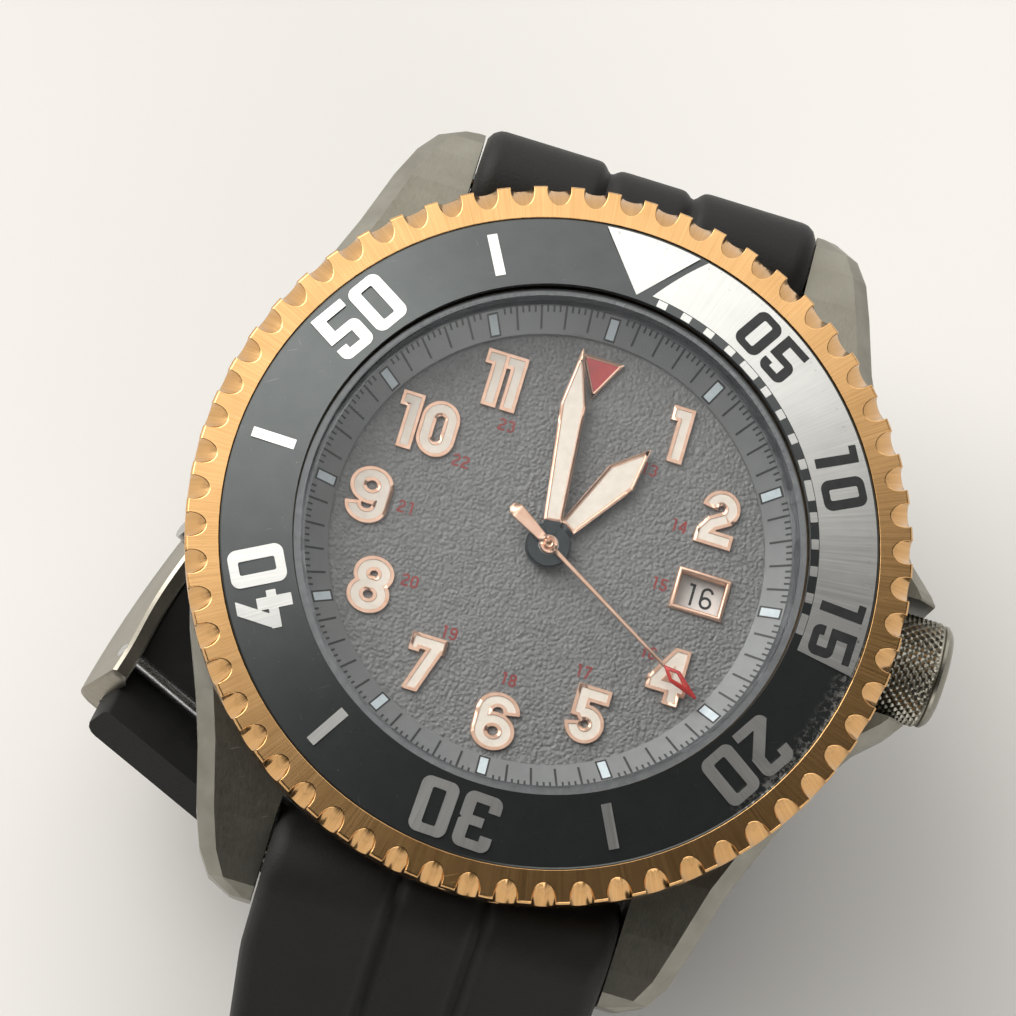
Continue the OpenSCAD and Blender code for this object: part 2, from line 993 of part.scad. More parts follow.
// Height of the long strap's path falls away as it bends to the table
function lower_dir(s) = let (
    h = 180 - lower_fall * (1 - ramp(s, lower_bend[0], lower_bend[1]))
) [[0, cos(h), sin(h)], [-1, 0, 0]];
lower_step = strap_lower_len / lower_steps;
lower_start = [
    0, -bar_y - 1.3 * sin(-lower_fall), bar_z + 1.3 * cos(lower_fall)
];
lower_points = [
    for (i = 0, p = lower_start; i <= lower_steps;
         p = p + lower_step * lower_dir((i + 0.5) * lower_step)[0], i = i + 1) p
];
lower_frames = [
    for (i = [0:lower_steps])
    let (f = lower_dir(i * lower_step)) [lower_points[i], f[0], f[1]]
];
function lower_width(s) = (strap_w - 1.5 * ramp(s, 5, 12) - 2 * ramp(s, 12, 70))
    * sqrt(max(0.05, 1 - pow(ramp(s, strap_lower_len - 8, strap_lower_len), 2)));
function lower_thick(s) = strap_t + (strap_thin - strap_t) * ramp(s, 1, 40);

module strap_lower() {
    color(black)
    difference() {
        union() {
            translate([-strap_w / 2, -bar_y, bar_z])
            rotate([0, 90, 0])
            cylinder(r = boss_r, h = strap_w);
            skin([
                for (i = [0:lower_steps])
                let (s = i * lower_step)
                strap_ring(lower_frames[i], lower_width(s), lower_thick(s))
            ]);
        }
        disc(21.6, -5, 12);
        translate([-strap_w, -bar_y, bar_z])
        rotate([0, 90, 0])
        cylinder(r = bar_r + fit, h = 2 * strap_w);
        for (k = [0:strap_holes - 1]) {
            translate([0, hole_y(k), lower_points[lower_steps][2]])
            cylinder(r = hole_r, h = 12, center = true);
        }
    }
}
// Distance along Y of adjusting hole k, counted from the free end
function hole_y(k) = lower_points[lower_steps][1] + hole_tip_gap + k * hole_pitch;

module clasp_cover() {
    half = clasp_w / 2;
    inner = strap_w / 2 + 0.1;
    v_out = clasp_strap_t / 2 + 0.06;
    color(titanium)
    difference() {
        union() {
            clasp_bar(-half, half, v_out, v_out + clasp_plate_t, 0, clasp_end);
            for (side = [-1, 1]) {
                low = side > 0 ? inner : -half;
                high = side > 0 ? half : -inner;
                clasp_bar(low, high, -1.3, v_out + eps, 0, clasp_end);
                // ears that hold the hinge pin
                at_clasp(clasp_hinge_at)
                translate([low, -1.4, -3.1])
                cube([high - low, 2.8, 2.6]);
            }
        }
        at_clasp(clasp_bar_at)
        translate([-11.7, 0, 0])
        rotate([0, 90, 0])
        cylinder(r = 0.4 + fit, h = 23.4);
        at_clasp(clasp_hinge_at)
        translate([-20, 0, clasp_hinge_v])
        rotate([0, 90, 0])
        cylinder(r = 0.52, h = 40);
        at_clasp(clasp_button_at)
        translate([-20, 0, 0])
        rotate([0, 90, 0])
        cylinder(r = clasp_button_r + fit, h = 40);
    }
}

module clasp_blade() {
    color(steel)
    difference() {
        union() {
            clasp_bar(-4.5, 4.5, -2.45, -1.75, 8, clasp_hinge_at);
            at_clasp(clasp_hinge_at)
            translate([-4.9, 0, clasp_hinge_v])
            rotate([0, 90, 0])
            cylinder(r = 0.9, h = 9.8);
            // two pegs that take the holes of the long strap piece
            for (a = [16, 30]) {
                at_clasp(a)
                translate([0, 0, -3.6])
                cylinder(r = 0.9, h = 1.5);
            }
        }
        at_clasp(clasp_hinge_at)
        translate([-6, 0, clasp_hinge_v])
        rotate([0, 90, 0])
        cylinder(r = 0.5 + fit, h = 12);
    }
}

module clasp_hinge_pin() {
    color(steel)
    at_clasp(clasp_hinge_at)
    translate([-clasp_w / 2, 0, clasp_hinge_v])
    rotate([0, 90, 0])
    cylinder(r = 0.5, h = clasp_w);
}

module clasp_strap_bar() {
    color(steel)
    at_clasp(clasp_bar_at)
    union() {
        translate([-10.7, 0, 0])
        rotate([0, 90, 0])
        cylinder(r = 0.6, h = 21.4);
        translate([-11.6, 0, 0])
        rotate([0, 90, 0])
        cylinder(r = 0.4, h = 23.2);
    }
}

module clasp_button(side) {
    color(steel)
    at_clasp(clasp_button_at)
    translate([side * 11, 0, 0])
    rotate([0, side * 90, 0])
    cylinder(r = clasp_button_r, h = 1.8);
}

module clasp_button_left() {
    clasp_button(-1);
}

module clasp_button_right() {
    clasp_button(1);
}

mid_case();
case_back();
case_back_gasket();
bezel_ring();
bezel_insert();
bezel_click_spring();
bezel_gasket();
crystal();
crystal_gasket();
chapter_ring();
dial();
date_frame();
hour_numerals();
twelve_marker();
hour_hand();
minute_hand();
second_hand();
date_disc();
hour_wheel();
minute_wheel();
cannon_pinion();
centre_wheel();
third_wheel();
fourth_wheel();
escape_wheel();
pallet_fork();
balance_wheel();
hairspring();
barrel();
ratchet_wheel();
main_plate();
train_bridge();
barrel_bridge();
balance_cock();
train_bridge_screw();
barrel_bridge_screw();
balance_cock_screw();
rotor_bearing();
rotor();
movement_ring();
crown();
crown_tube();
crown_gasket();
winding_stem();
spring_bar_upper();
spring_bar_lower();
strap_upper();
strap_lower();
clasp_cover();
clasp_blade();
clasp_hinge_pin();
clasp_strap_bar();
clasp_button_left();
clasp_button_right();
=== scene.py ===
"""Dive watch: finishes, numerals, prints, hands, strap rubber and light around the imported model.

Sizes are in millimetres in the model's own frame and are turned into metres when a mesh is made.
+Z points out of the dial, +Y to 12 o'clock and +X to the crown.
"""
import json
import math

import bmesh
import bpy
import numpy as np
from mathutils import Matrix, Vector, geometry


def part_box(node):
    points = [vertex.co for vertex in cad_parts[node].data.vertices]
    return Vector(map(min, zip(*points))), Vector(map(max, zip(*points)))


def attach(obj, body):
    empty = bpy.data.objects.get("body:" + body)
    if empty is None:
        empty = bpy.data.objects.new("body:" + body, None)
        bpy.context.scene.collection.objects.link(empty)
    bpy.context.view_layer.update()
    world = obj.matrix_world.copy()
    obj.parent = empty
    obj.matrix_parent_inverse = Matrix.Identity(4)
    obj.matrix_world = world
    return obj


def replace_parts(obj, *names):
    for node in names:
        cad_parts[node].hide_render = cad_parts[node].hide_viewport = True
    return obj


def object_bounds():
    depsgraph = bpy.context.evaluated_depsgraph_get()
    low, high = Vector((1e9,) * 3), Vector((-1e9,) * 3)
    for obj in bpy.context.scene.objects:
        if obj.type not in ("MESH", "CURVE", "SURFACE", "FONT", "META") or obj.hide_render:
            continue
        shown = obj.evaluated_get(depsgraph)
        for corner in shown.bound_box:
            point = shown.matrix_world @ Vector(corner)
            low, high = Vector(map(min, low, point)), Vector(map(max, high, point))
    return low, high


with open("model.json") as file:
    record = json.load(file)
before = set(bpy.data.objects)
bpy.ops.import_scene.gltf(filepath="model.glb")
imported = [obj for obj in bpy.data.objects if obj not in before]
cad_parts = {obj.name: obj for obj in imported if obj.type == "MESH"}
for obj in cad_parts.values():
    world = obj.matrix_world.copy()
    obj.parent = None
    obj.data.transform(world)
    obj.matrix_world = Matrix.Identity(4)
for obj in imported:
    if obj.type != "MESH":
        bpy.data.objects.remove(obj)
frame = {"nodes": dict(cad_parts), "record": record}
cad_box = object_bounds()

MM = 0.001


def box_of(node):
    """Low and high corners of a CAD node's box, in millimetres."""
    return [np.array(corner, float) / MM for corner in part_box(node)]


def cos_sin(degrees):
    turn = math.radians(degrees)
    return math.cos(turn), math.sin(turn)


# Heights and radii that the pieces share
DIAL_TOP = box_of("dial")[1][2]
INSERT_TOP = box_of("bezel_insert")[1][2]
INSERT_OUT = box_of("bezel_insert")[1][0] - 0.1
INSERT_IN = 15.6
CONE_SLOPE = (box_of("bezel_ring")[1][2] + 0.03 - INSERT_TOP) / (INSERT_OUT - INSERT_IN)


# ---------------------------------------------------------------- finishes

class Nodes:
    """Short ways to build up a node tree."""

    def __init__(self, tree):
        self.tree = tree

    def set(self, node, sockets):
        for name, value in sockets.items():
            socket = node.inputs[name.replace("_", " ") if isinstance(name, str) else name]
            if isinstance(value, bpy.types.NodeSocket):
                self.tree.links.new(value, socket)
            elif isinstance(value, tuple) and len(value) == 3 and socket.type == "RGBA":
                socket.default_value = (*value, 1)
            else:
                socket.default_value = value

    def add(self, kind, sockets=None, **options):
        node = self.tree.nodes.new(kind)
        for name, value in options.items():
            setattr(node, name, value)
        self.set(node, sockets or {})
        return node

    def math(self, operation, a, b=0.0):
        return self.add("ShaderNodeMath", {0: a, 1: b}, operation=operation).outputs[0]

    def vector(self, operation, a, b=None, **sockets):
        given = {0: a, **({} if b is None else {1: b}), **sockets}
        node = self.add("ShaderNodeVectorMath", given, operation=operation)
        return node.outputs["Value" if operation in ("LENGTH", "DOT_PRODUCT") else "Vector"]

    def between(self, fac, low, high):
        """fac rescaled from 0..1 to low..high."""
        sockets = {"Value": fac, "To Min": low, "To Max": high}
        return self.add("ShaderNodeMapRange", sockets).outputs["Result"]

    def step(self, value, low, high, start=0.0, end=1.0):
        """start where value is below low, end where it is above high, smooth between."""
        sockets = {"Value": value, "From Min": low, "From Max": high, "To Min": start, "To Max": end}
        node = self.add("ShaderNodeMapRange", sockets, interpolation_type="SMOOTHSTEP")
        return node.outputs["Result"]


class Finish(Nodes):
    """A procedural material, built up node by node around one Principled shader."""

    def __init__(self, name, **sockets):
        self.material = bpy.data.materials.new(name)
        self.material.use_nodes = True
        super().__init__(self.material.node_tree)
        self.shader = self.tree.nodes["Principled BSDF"]
        self.use(**sockets)
        place = self.add("ShaderNodeTexCoord")
        self.normal = place.outputs["Normal"]
        self.mm = self.vector("SCALE", place.outputs["Object"], Scale=1 / MM)

    def use(self, **sockets):
        self.set(self.shader, sockets)

    def linked(self, name):
        """The output that feeds one of the shader's sockets."""
        return self.shader.inputs[name].links[0].from_socket

    def stretched(self, x, y, z):
        return self.vector("MULTIPLY", self.mm, (x, y, z))

    def radius(self):
        """Distance from the dial's axis, in millimetres."""
        return self.vector("LENGTH", self.stretched(1, 1, 0))

    def levelness(self, low, high):
        """1 where the surface is level, 0 where it is steep."""
        return self.step(self.add("ShaderNodeSeparateXYZ", {0: self.normal}).outputs[2], low, high)

    def noise(self, vector, scale=1.0, detail=3.0, roughness=0.5):
        sockets = {"Vector": vector, "Scale": scale, "Detail": detail, "Roughness": roughness}
        return self.add("ShaderNodeTexNoise", sockets).outputs["Fac"]

    def ramp(self, fac, low, high, colour_low, colour_high):
        node = self.add("ShaderNodeValToRGB", {"Fac": fac})
        ends = node.color_ramp.elements
        ends[0].position, ends[1].position = low, high
        ends[0].color, ends[1].color = (*colour_low, 1), (*colour_high, 1)
        return node.outputs["Color"]

    def mix(self, fac, a, b):
        return self.add("ShaderNodeMix", {0: fac, 6: a, 7: b}, data_type="RGBA").outputs[2]

    def bump(self, height, depth):
        """Relief of the given depth in millimetres, on top of any relief already there."""
        sockets = {"Height": height, "Distance": depth * MM, "Strength": 1.0}
        if self.shader.inputs["Normal"].links:
            sockets["Normal"] = self.linked("Normal")
        self.use(Normal=self.add("ShaderNodeBump", sockets).outputs["Normal"])


def brushing(f, kind, fineness=9.0):
    """Fine parallel lines: along X or Y, in rings round the dial, or in rays from its centre."""
    slow = 0.12
    if kind in "XY":
        along, across = (slow, fineness) if kind == "X" else (fineness, slow)
        return f.noise(f.stretched(along, across, fineness), detail=4, roughness=0.7)
    if kind == "rings":
        start, rate = f.stretched(slow, slow, 0), fineness
    else:
        start = f.vector("SCALE", f.vector("NORMALIZE", f.stretched(1, 1, 0)), Scale=fineness * 18)
        rate = slow
    out = f.add("ShaderNodeCombineXYZ", {2: f.math("MULTIPLY", f.radius(), rate)}).outputs[0]
    return f.noise(f.vector("ADD", start, out), detail=4, roughness=0.7)


def scratches(f, amount):
    """Sparse thin marks in three directions, 1 on a mark and 0 elsewhere."""
    marks = 0.0
    for turn, seed in ((0.5, 0.0), (2.1, 7.0), (3.6, 15.0)):
        c, s = math.cos(turn), math.sin(turn)
        along = f.vector("DOT_PRODUCT", f.mm, (c * 0.35, s * 0.35, 0.1))
        across = f.vector("DOT_PRODUCT", f.mm, (-s * 9, c * 9, 6))
        spot = f.add("ShaderNodeCombineXYZ", {0: along, 1: across, 2: seed}).outputs[0]
        marks = f.math("MAXIMUM", f.step(f.noise(spot, detail=2), 0.78 - amount, 0.83 - amount), marks)
    return marks


def metal(name, dark, light, lines, roughness=(0.25, 0.42), wear=0.06, relief=0.004):
    """Brushed metal: lines tint it, roughen it and stand out a little; wear adds fine marks."""
    f = Finish(name, Metallic=1.0)
    grain = brushing(f, lines)
    cloud = f.noise(f.mm, scale=0.35)
    shade = f.math("ADD", f.math("MULTIPLY", grain, 0.6), f.math("MULTIPLY", cloud, 0.4))
    marks = scratches(f, wear)
    colour = f.ramp(shade, 0.35, 0.65, dark, light)
    f.use(Base_Color=f.mix(f.math("MULTIPLY", marks, 0.35), colour, light))
    f.use(Roughness=f.between(f.math("ADD", grain, f.math("MULTIPLY", marks, 0.3)), *roughness))
    f.bump(f.math("SUBTRACT", grain, f.math("MULTIPLY", marks, 0.5)), relief)
    return f


def gold_finish():
    """Rose gold: rays brushed on level faces, polished on the rest, all leaning outwards a little."""
    f = metal("rose_gold_finish", (0.60, 0.345, 0.140), (0.77, 0.46, 0.205), "rays",
              roughness=(0.17, 0.29), wear=0.03, relief=0.003)
    level = f.levelness(0.93, 0.985)
    polish = f.math("MULTIPLY", f.math("SUBTRACT", 1.0, level), 0.16)
    f.use(Roughness=f.math("ADD", f.math("MULTIPLY", f.linked("Roughness"), level), polish))
    f.bump(f.math("MULTIPLY", f.radius(), -0.08), 1.0)
    return f.material


def polished_gold():
    f = Finish("hand_gold_finish", Metallic=1.0)
    f.use(Base_Color=f.ramp(f.noise(f.mm, scale=1.6), 0.3, 0.7, (0.78, 0.49, 0.35), (0.90, 0.62, 0.48)))
    f.use(Roughness=f.between(f.noise(f.mm, scale=6, detail=4), 0.32, 0.44))
    f.bump(f.noise(f.stretched(7, 7, 2)), 0.001)
    return f.material


def titanium_finish():
    """Grey titanium: the level faces brushed along the strap; the chamfer and flanks painted lighter, a
    painted sheen for the light they catch.
    """
    f = metal("titanium_finish", (0.149, 0.140, 0.110), (0.216, 0.204, 0.165), "Y",
              roughness=(0.3, 0.48), wear=0.05, relief=0.005)
    # painted sheen: the chamfer and flanks get a lighter colour than the level faces, standing in for the
    # light they catch
    painted_sheen = f.ramp(f.noise(f.mm, scale=0.5), 0.3, 0.7, (0.24, 0.23, 0.195), (0.31, 0.30, 0.26))
    f.use(Base_Color=f.mix(f.levelness(0.9, 0.98), painted_sheen, f.linked("Base Color")))
    return f.material


def insert_finish():
    """Anodised slate: satin, faintly mottled, with fine scratches and a patch rubbed bare at the rim."""
    f = Finish("insert_slate_finish", Metallic=0.9, Coat_Weight=0.2, Coat_Roughness=0.16)
    cloud = f.noise(f.mm, scale=0.6, detail=5, roughness=0.6)
    colour = f.ramp(cloud, 0.3, 0.7, (0.076, 0.083, 0.083), (0.086, 0.093, 0.093))
    specks = f.step(f.noise(f.mm, scale=5.5, detail=2), 0.745, 0.79)
    worn = f.math("MAXIMUM", f.math("MULTIPLY", scratches(f, 0.05), 0.35), f.math("MULTIPLY", specks, 0.5))
    rubbed = f.step(f.noise(f.mm, scale=2.4, detail=7, roughness=0.78), 0.50, 0.57)
    rim = f.step(f.radius(), INSERT_OUT - 1.2, INSERT_OUT - 0.1)
    outward = f.vector("NORMALIZE", f.stretched(1, 1, 0))
    stretch = f.step(f.vector("DOT_PRODUCT", outward, (0.937, -0.349, 0)), 0.93, 0.975)
    bare = f.math("MULTIPLY", f.math("MULTIPLY", rubbed, rim), stretch)
    f.use(Base_Color=f.mix(bare, f.mix(worn, colour, (0.30, 0.31, 0.31)), (0.55, 0.54, 0.51)))
    f.use(Roughness=f.between(f.noise(f.mm, scale=9, detail=4), 0.24, 0.36))
    f.bump(f.noise(f.mm, scale=22), 0.002)
    return f.material


def bare_aluminium():
    """Bare metal of the insert's numerals and sector, brushed across the bezel and worn at its rim."""
    f = metal("bare_aluminium_finish", (0.66, 0.66, 0.64), (0.80, 0.80, 0.775), "rays",
              roughness=(0.26, 0.4), wear=0.07, relief=0.003)
    rubbed = f.step(f.noise(f.mm, scale=2.6, detail=6, roughness=0.72), 0.60, 0.70)
    worn = f.math("MULTIPLY", rubbed, f.step(f.radius(), INSERT_OUT - 1.3, INSERT_OUT))
    f.use(Base_Color=f.mix(worn, f.linked("Base Color"), (0.22, 0.22, 0.21)))
    return f.material


def dial_finish():
    """Matt grey lacquer over a pebbled, leather-like grain."""
    f = Finish("dial_grey_finish", Roughness=0.5, Specular_IOR_Level=0.45)
    tone = f.noise(f.mm, scale=0.9, detail=4)
    f.use(Base_Color=f.ramp(tone, 0.3, 0.7, (0.163, 0.168, 0.167), (0.197, 0.203, 0.202)))
    warp = f.add("ShaderNodeTexNoise", {"Vector": f.mm, "Scale": 1.9, "Detail": 2.0}).outputs["Color"]
    warped = f.vector("ADD", f.mm, f.vector("SCALE", warp, Scale=0.25))
    cells = f.add("ShaderNodeTexVoronoi", {"Vector": warped, "Scale": 4.2, "Smoothness": 0.6},
                  feature="SMOOTH_F1")
    pebbles = f.math("SUBTRACT", 1.0, cells.outputs["Distance"])
    f.bump(f.math("ADD", pebbles, f.math("MULTIPLY", f.noise(f.mm, scale=5), 0.25)), 0.115)
    return f.material


def flange_finish():
    f = Finish("flange_grey_finish", Metallic=0.25)
    tone = f.noise(f.mm, scale=1.1)
    f.use(Base_Color=f.ramp(tone, 0.3, 0.7, (0.195, 0.204, 0.207), (0.215, 0.225, 0.228)))
    f.use(Roughness=f.between(f.noise(f.mm, scale=7), 0.40, 0.47))
    f.bump(f.noise(f.mm, scale=16, detail=2), 0.002)
    return f.material


def lacquer(name, dark, light, roughness=0.5, grain=0.01, **sockets):
    """Printed or filled colour with a faint grain."""
    f = Finish(name, **sockets)
    tone = f.noise(f.mm, scale=1.8, detail=4)
    f.use(Base_Color=f.ramp(tone, 0.3, 0.7, dark, light))
    f.use(Roughness=f.between(f.noise(f.mm, scale=8, detail=2), roughness - 0.07, roughness + 0.07))
    f.bump(f.noise(f.mm, scale=11, detail=4), grain)
    return f.material


def rubber_finish():
    """Matt black moulded rubber with a fine sandy grain, a little dust and rubbed patches."""
    f = Finish("strap_rubber_finish", Specular_IOR_Level=0.25, Sheen_Weight=0.04, Sheen_Roughness=0.5)
    cloud = f.noise(f.mm, scale=0.22, detail=6, roughness=0.62)
    colour = f.ramp(cloud, 0.3, 0.75, (0.0065, 0.0065, 0.006), (0.0125, 0.0125, 0.0115))
    dust = f.step(f.noise(f.mm, scale=3.1, detail=7, roughness=0.8), 0.665, 0.72)
    f.use(Base_Color=f.mix(f.math("MULTIPLY", dust, 0.35), colour, (0.05, 0.049, 0.045)))
    f.use(Roughness=f.between(cloud, 0.44, 0.66))
    f.bump(f.noise(f.mm, scale=5.2, detail=5, roughness=0.65), 0.03)
    return f.material


def sapphire_finish():
    """Clear crystal: see-through face on, a mirror at a glancing angle."""
    f = Finish("sapphire_finish", Metallic=1.0)
    smear = f.noise(f.mm, scale=0.25, detail=4)
    f.use(Roughness=f.between(f.step(smear, 0.55, 0.8), 0.01, 0.04))
    f.use(Base_Color=f.ramp(smear, 0.2, 0.8, (0.90, 0.94, 1.0), (0.95, 0.97, 1.0)))
    glance = f.add("ShaderNodeLayerWeight", {"Blend": 0.5}).outputs["Facing"]
    f.use(Alpha=f.between(f.math("POWER", glance, 5.0), 0.02, 0.6))
    return f.material


FINISHES = {
    "case_titanium": titanium_finish(),
    "crown_titanium": metal("crown_finish", (0.19, 0.18, 0.15), (0.30, 0.285, 0.24), "X",
                            roughness=(0.22, 0.38), wear=0.02, relief=0.003).material,
    "rose_gold": gold_finish(),
    "insert_slate": insert_finish(),
    "sapphire": sapphire_finish(),
    "dial_grey": dial_finish(),
    "flange_grey": flange_finish(),
    "lume_cream": lacquer("lume_cream_finish", (0.79, 0.72, 0.62), (0.88, 0.81, 0.72), 0.6, 0.012),
    "enamel_red": lacquer("enamel_red_finish", (0.42, 0.022, 0.02), (0.56, 0.04, 0.034), 0.25, 0.002,
                          Coat_Weight=0.5),
    "date_white": lacquer("date_white_finish", (0.72, 0.72, 0.70), (0.80, 0.80, 0.78), 0.5, 0.003),
    "holder_plastic": lacquer("holder_plastic_finish", (0.5, 0.5, 0.48), (0.62, 0.62, 0.6), 0.45),
    "strap_rubber": rubber_finish(),
    "seal_rubber": lacquer("seal_rubber_finish", (0.012, 0.012, 0.012), (0.022, 0.022, 0.022), 0.55),
    "brass": metal("brass_finish", (0.50, 0.36, 0.13), (0.66, 0.50, 0.22), "rings").material,
    "blued_steel": metal("blued_steel_finish", (0.02, 0.04, 0.16), (0.05, 0.08, 0.26), "X").material,
    "steel": metal("steel_finish", (0.42, 0.42, 0.42), (0.58, 0.58, 0.58), "X",
                   roughness=(0.2, 0.36)).material,
}
HAND_GOLD = polished_gold()
CLASP_METAL = metal("clasp_finish", (0.27, 0.25, 0.21), (0.37, 0.345, 0.29), "X",
                    roughness=(0.26, 0.42), wear=0.07).material
BACK_METAL = metal("case_back_finish", (0.33, 0.32, 0.30), (0.47, 0.46, 0.44), "rings",
                   roughness=(0.22, 0.4), wear=0.05).material
BARE_METAL = bare_aluminium()
BLACK_INK = lacquer("black_ink_finish", (0.012, 0.013, 0.014), (0.022, 0.023, 0.024), 0.45, 0.002)
SLATE_INK = lacquer("insert_ink_finish", (0.020, 0.022, 0.022), (0.032, 0.034, 0.034), 0.42, 0.003,
                    Metallic=0.3)
RED_INK = lacquer("red_ink_finish", (0.23, 0.03, 0.028), (0.30, 0.04, 0.036), 0.5, 0.002)
BLOCK_WHITE = lacquer("block_white_finish", (0.50, 0.58, 0.62), (0.60, 0.68, 0.71), 0.4, 0.003)
CLEAR_SEAL = lacquer("clear_seal_finish", (0.20, 0.21, 0.22), (0.26, 0.27, 0.28), 0.17, 0.002,
                     Metallic=0.6)
HUB_BLACK = lacquer("hub_black_finish", (0.022, 0.03, 0.034), (0.035, 0.045, 0.05), 0.3, 0.002,
                    Metallic=0.4)


def finish_cad_nodes():
    """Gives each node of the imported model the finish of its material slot, or one of its own."""
    own = {"clasp_cover": CLASP_METAL, "case_back": BACK_METAL, "crystal_gasket": CLEAR_SEAL}
    for part in frame["record"]["subparts"]:
        finish = own.get(part["node"], FINISHES[part["material_slot"]])
        for place in frame["nodes"][part["node"]].material_slots:
            place.material = finish


def soften(node, width):
    """Rounds the sharp edges of a CAD node by a small bevel, in millimetres."""
    piece = frame["nodes"][node]
    piece.modifiers.new("weld", "WELD").merge_threshold = 0.002 * MM
    bevel = piece.modifiers.new("round", "BEVEL")
    bevel.width = width * MM
    bevel.segments = 2
    bevel.limit_method = "ANGLE"
    bevel.angle_limit = math.radians(30)
    bevel.harden_normals = True
    bevel.use_clamp_overlap = True


# ------------------------------------------------------------ mesh helpers

def new_object(name, data):
    made = bpy.data.objects.new(name, data)
    bpy.context.scene.collection.objects.link(made)
    return made


class Build:
    """Corners in millimetres and faces, gathered for one piece."""

    def __init__(self, corners=(), faces=()):
        self.corners, self.faces = [], []
        self.add(corners, faces)

    def add(self, corners, faces):
        start = len(self.corners)
        self.corners.extend(tuple(float(x) for x in c) for c in corners)
        self.faces.extend(tuple(start + i for i in face) for face in faces)

    def mesh(self, name):
        """A mesh without slivers, its faces turned outward."""
        mesh = bpy.data.meshes.new(name)
        mesh.from_pydata([tuple(x * MM for x in c) for c in self.corners], [], self.faces)
        mesh.validate()
        shape = bmesh.new()
        shape.from_mesh(mesh)
        bmesh.ops.dissolve_degenerate(shape, dist=0.002 * MM, edges=shape.edges)
        bmesh.ops.recalc_face_normals(shape, faces=shape.faces)
        shape.to_mesh(mesh)
        shape.free()
        return mesh

    def piece(self, name, body, material, slot, sharp=32):
        """The finished piece on its body; edges turn smoothly up to sharp degrees."""
        mesh = self.mesh(name)
        mesh.materials.append(material)
        mesh.shade_smooth()
        mesh.set_sharp_from_angle(angle=math.radians(sharp))
        made = new_object(name, mesh)
        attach(made, body)
        return made


def loft(rings, close_ends=True):
    """Corners and faces of a skin through closed rings of equal count."""
    n = len(rings[0])
    corners = [c for ring in rings for c in ring]
    faces = []
    for i in range(len(rings) - 1):
        for j in range(n):
            k = (j + 1) % n
            faces.append((i * n + j, i * n + k, (i + 1) * n + k, (i + 1) * n + j))
    if close_ends:
        faces.append(tuple(range(n - 1, -1, -1)))
        faces.append(tuple((len(rings) - 1) * n + j for j in range(n)))
    return corners, faces


# ------------------------------------------- flat shapes as signed distances
# A shape is a function of points (an array whose last axis is x, y) that is negative inside.

def bar(p, a, b, width, ext=0.0):
    """Straight stroke with square ends from a to b."""
    a, b = np.array(a, float), np.array(b, float)
    run = b - a
    length = np.hypot(*run)
    run = run / length
    q = p - a
    along = q @ run
    across = np.abs(q @ np.array([-run[1], run[0]]))
    return np.maximum(across - width / 2, np.abs(along - length / 2) - length / 2 - ext)


def disc(p, centre, radius):
    return np.hypot(p[..., 0] - centre[0], p[..., 1] - centre[1]) - radius


def ring(p, centre, radius, width):
    return np.abs(disc(p, centre, radius)) - width / 2


def bow(p, centre, radius, width, start, end):
    """Arc stroke with square ends, from start to end degrees, turning left."""
    x, y = p[..., 0] - centre[0], p[..., 1] - centre[1]
    rho = np.hypot(x, y)
    middle = math.radians((start + end) / 2)
    half = math.radians((end - start) / 2)
    turn = np.abs((np.arctan2(y, x) - middle + math.pi) % (2 * math.pi) - math.pi)
    return np.maximum(np.abs(rho - radius) - width / 2, (turn - half) * np.maximum(rho, 0.2 * radius))


def hoop(p, half, radius, width):
    """Upright running-track ring: two half circles joined by straights."""
    y = p[..., 1] - np.clip(p[..., 1], -half, half)
    return np.abs(np.hypot(p[..., 0], y) - radius) - width / 2


def block(p, centre, half_x, half_y, corner=0.0):
    x = np.abs(p[..., 0] - centre[0]) - half_x + corner
    y = np.abs(p[..., 1] - centre[1]) - half_y + corner
    if not corner:
        return np.maximum(x, y)
    return np.hypot(np.maximum(x, 0), np.maximum(y, 0)) + np.minimum(np.maximum(x, y), 0) - corner


def polygon(p, points):
    """Convex outline, listed turning left."""
    far = -1e9
    for a, b in zip(points, points[1:] + points[:1]):
        a, b = np.array(a, float), np.array(b, float)
        out = np.array([b[1] - a[1], a[0] - b[0]])
        far = np.maximum(far, (p - a) @ (out / np.hypot(*out)))
    return far


def inside(points):
    return lambda p: polygon(p, points)


def mirrored(points):
    """A whole outline, listed turning left, from its right-hand half, listed upwards."""
    return [*points, *((-x, y) for x, y in reversed(points) if x > 0)]


def join(*shapes):
    return np.minimum.reduce(shapes)


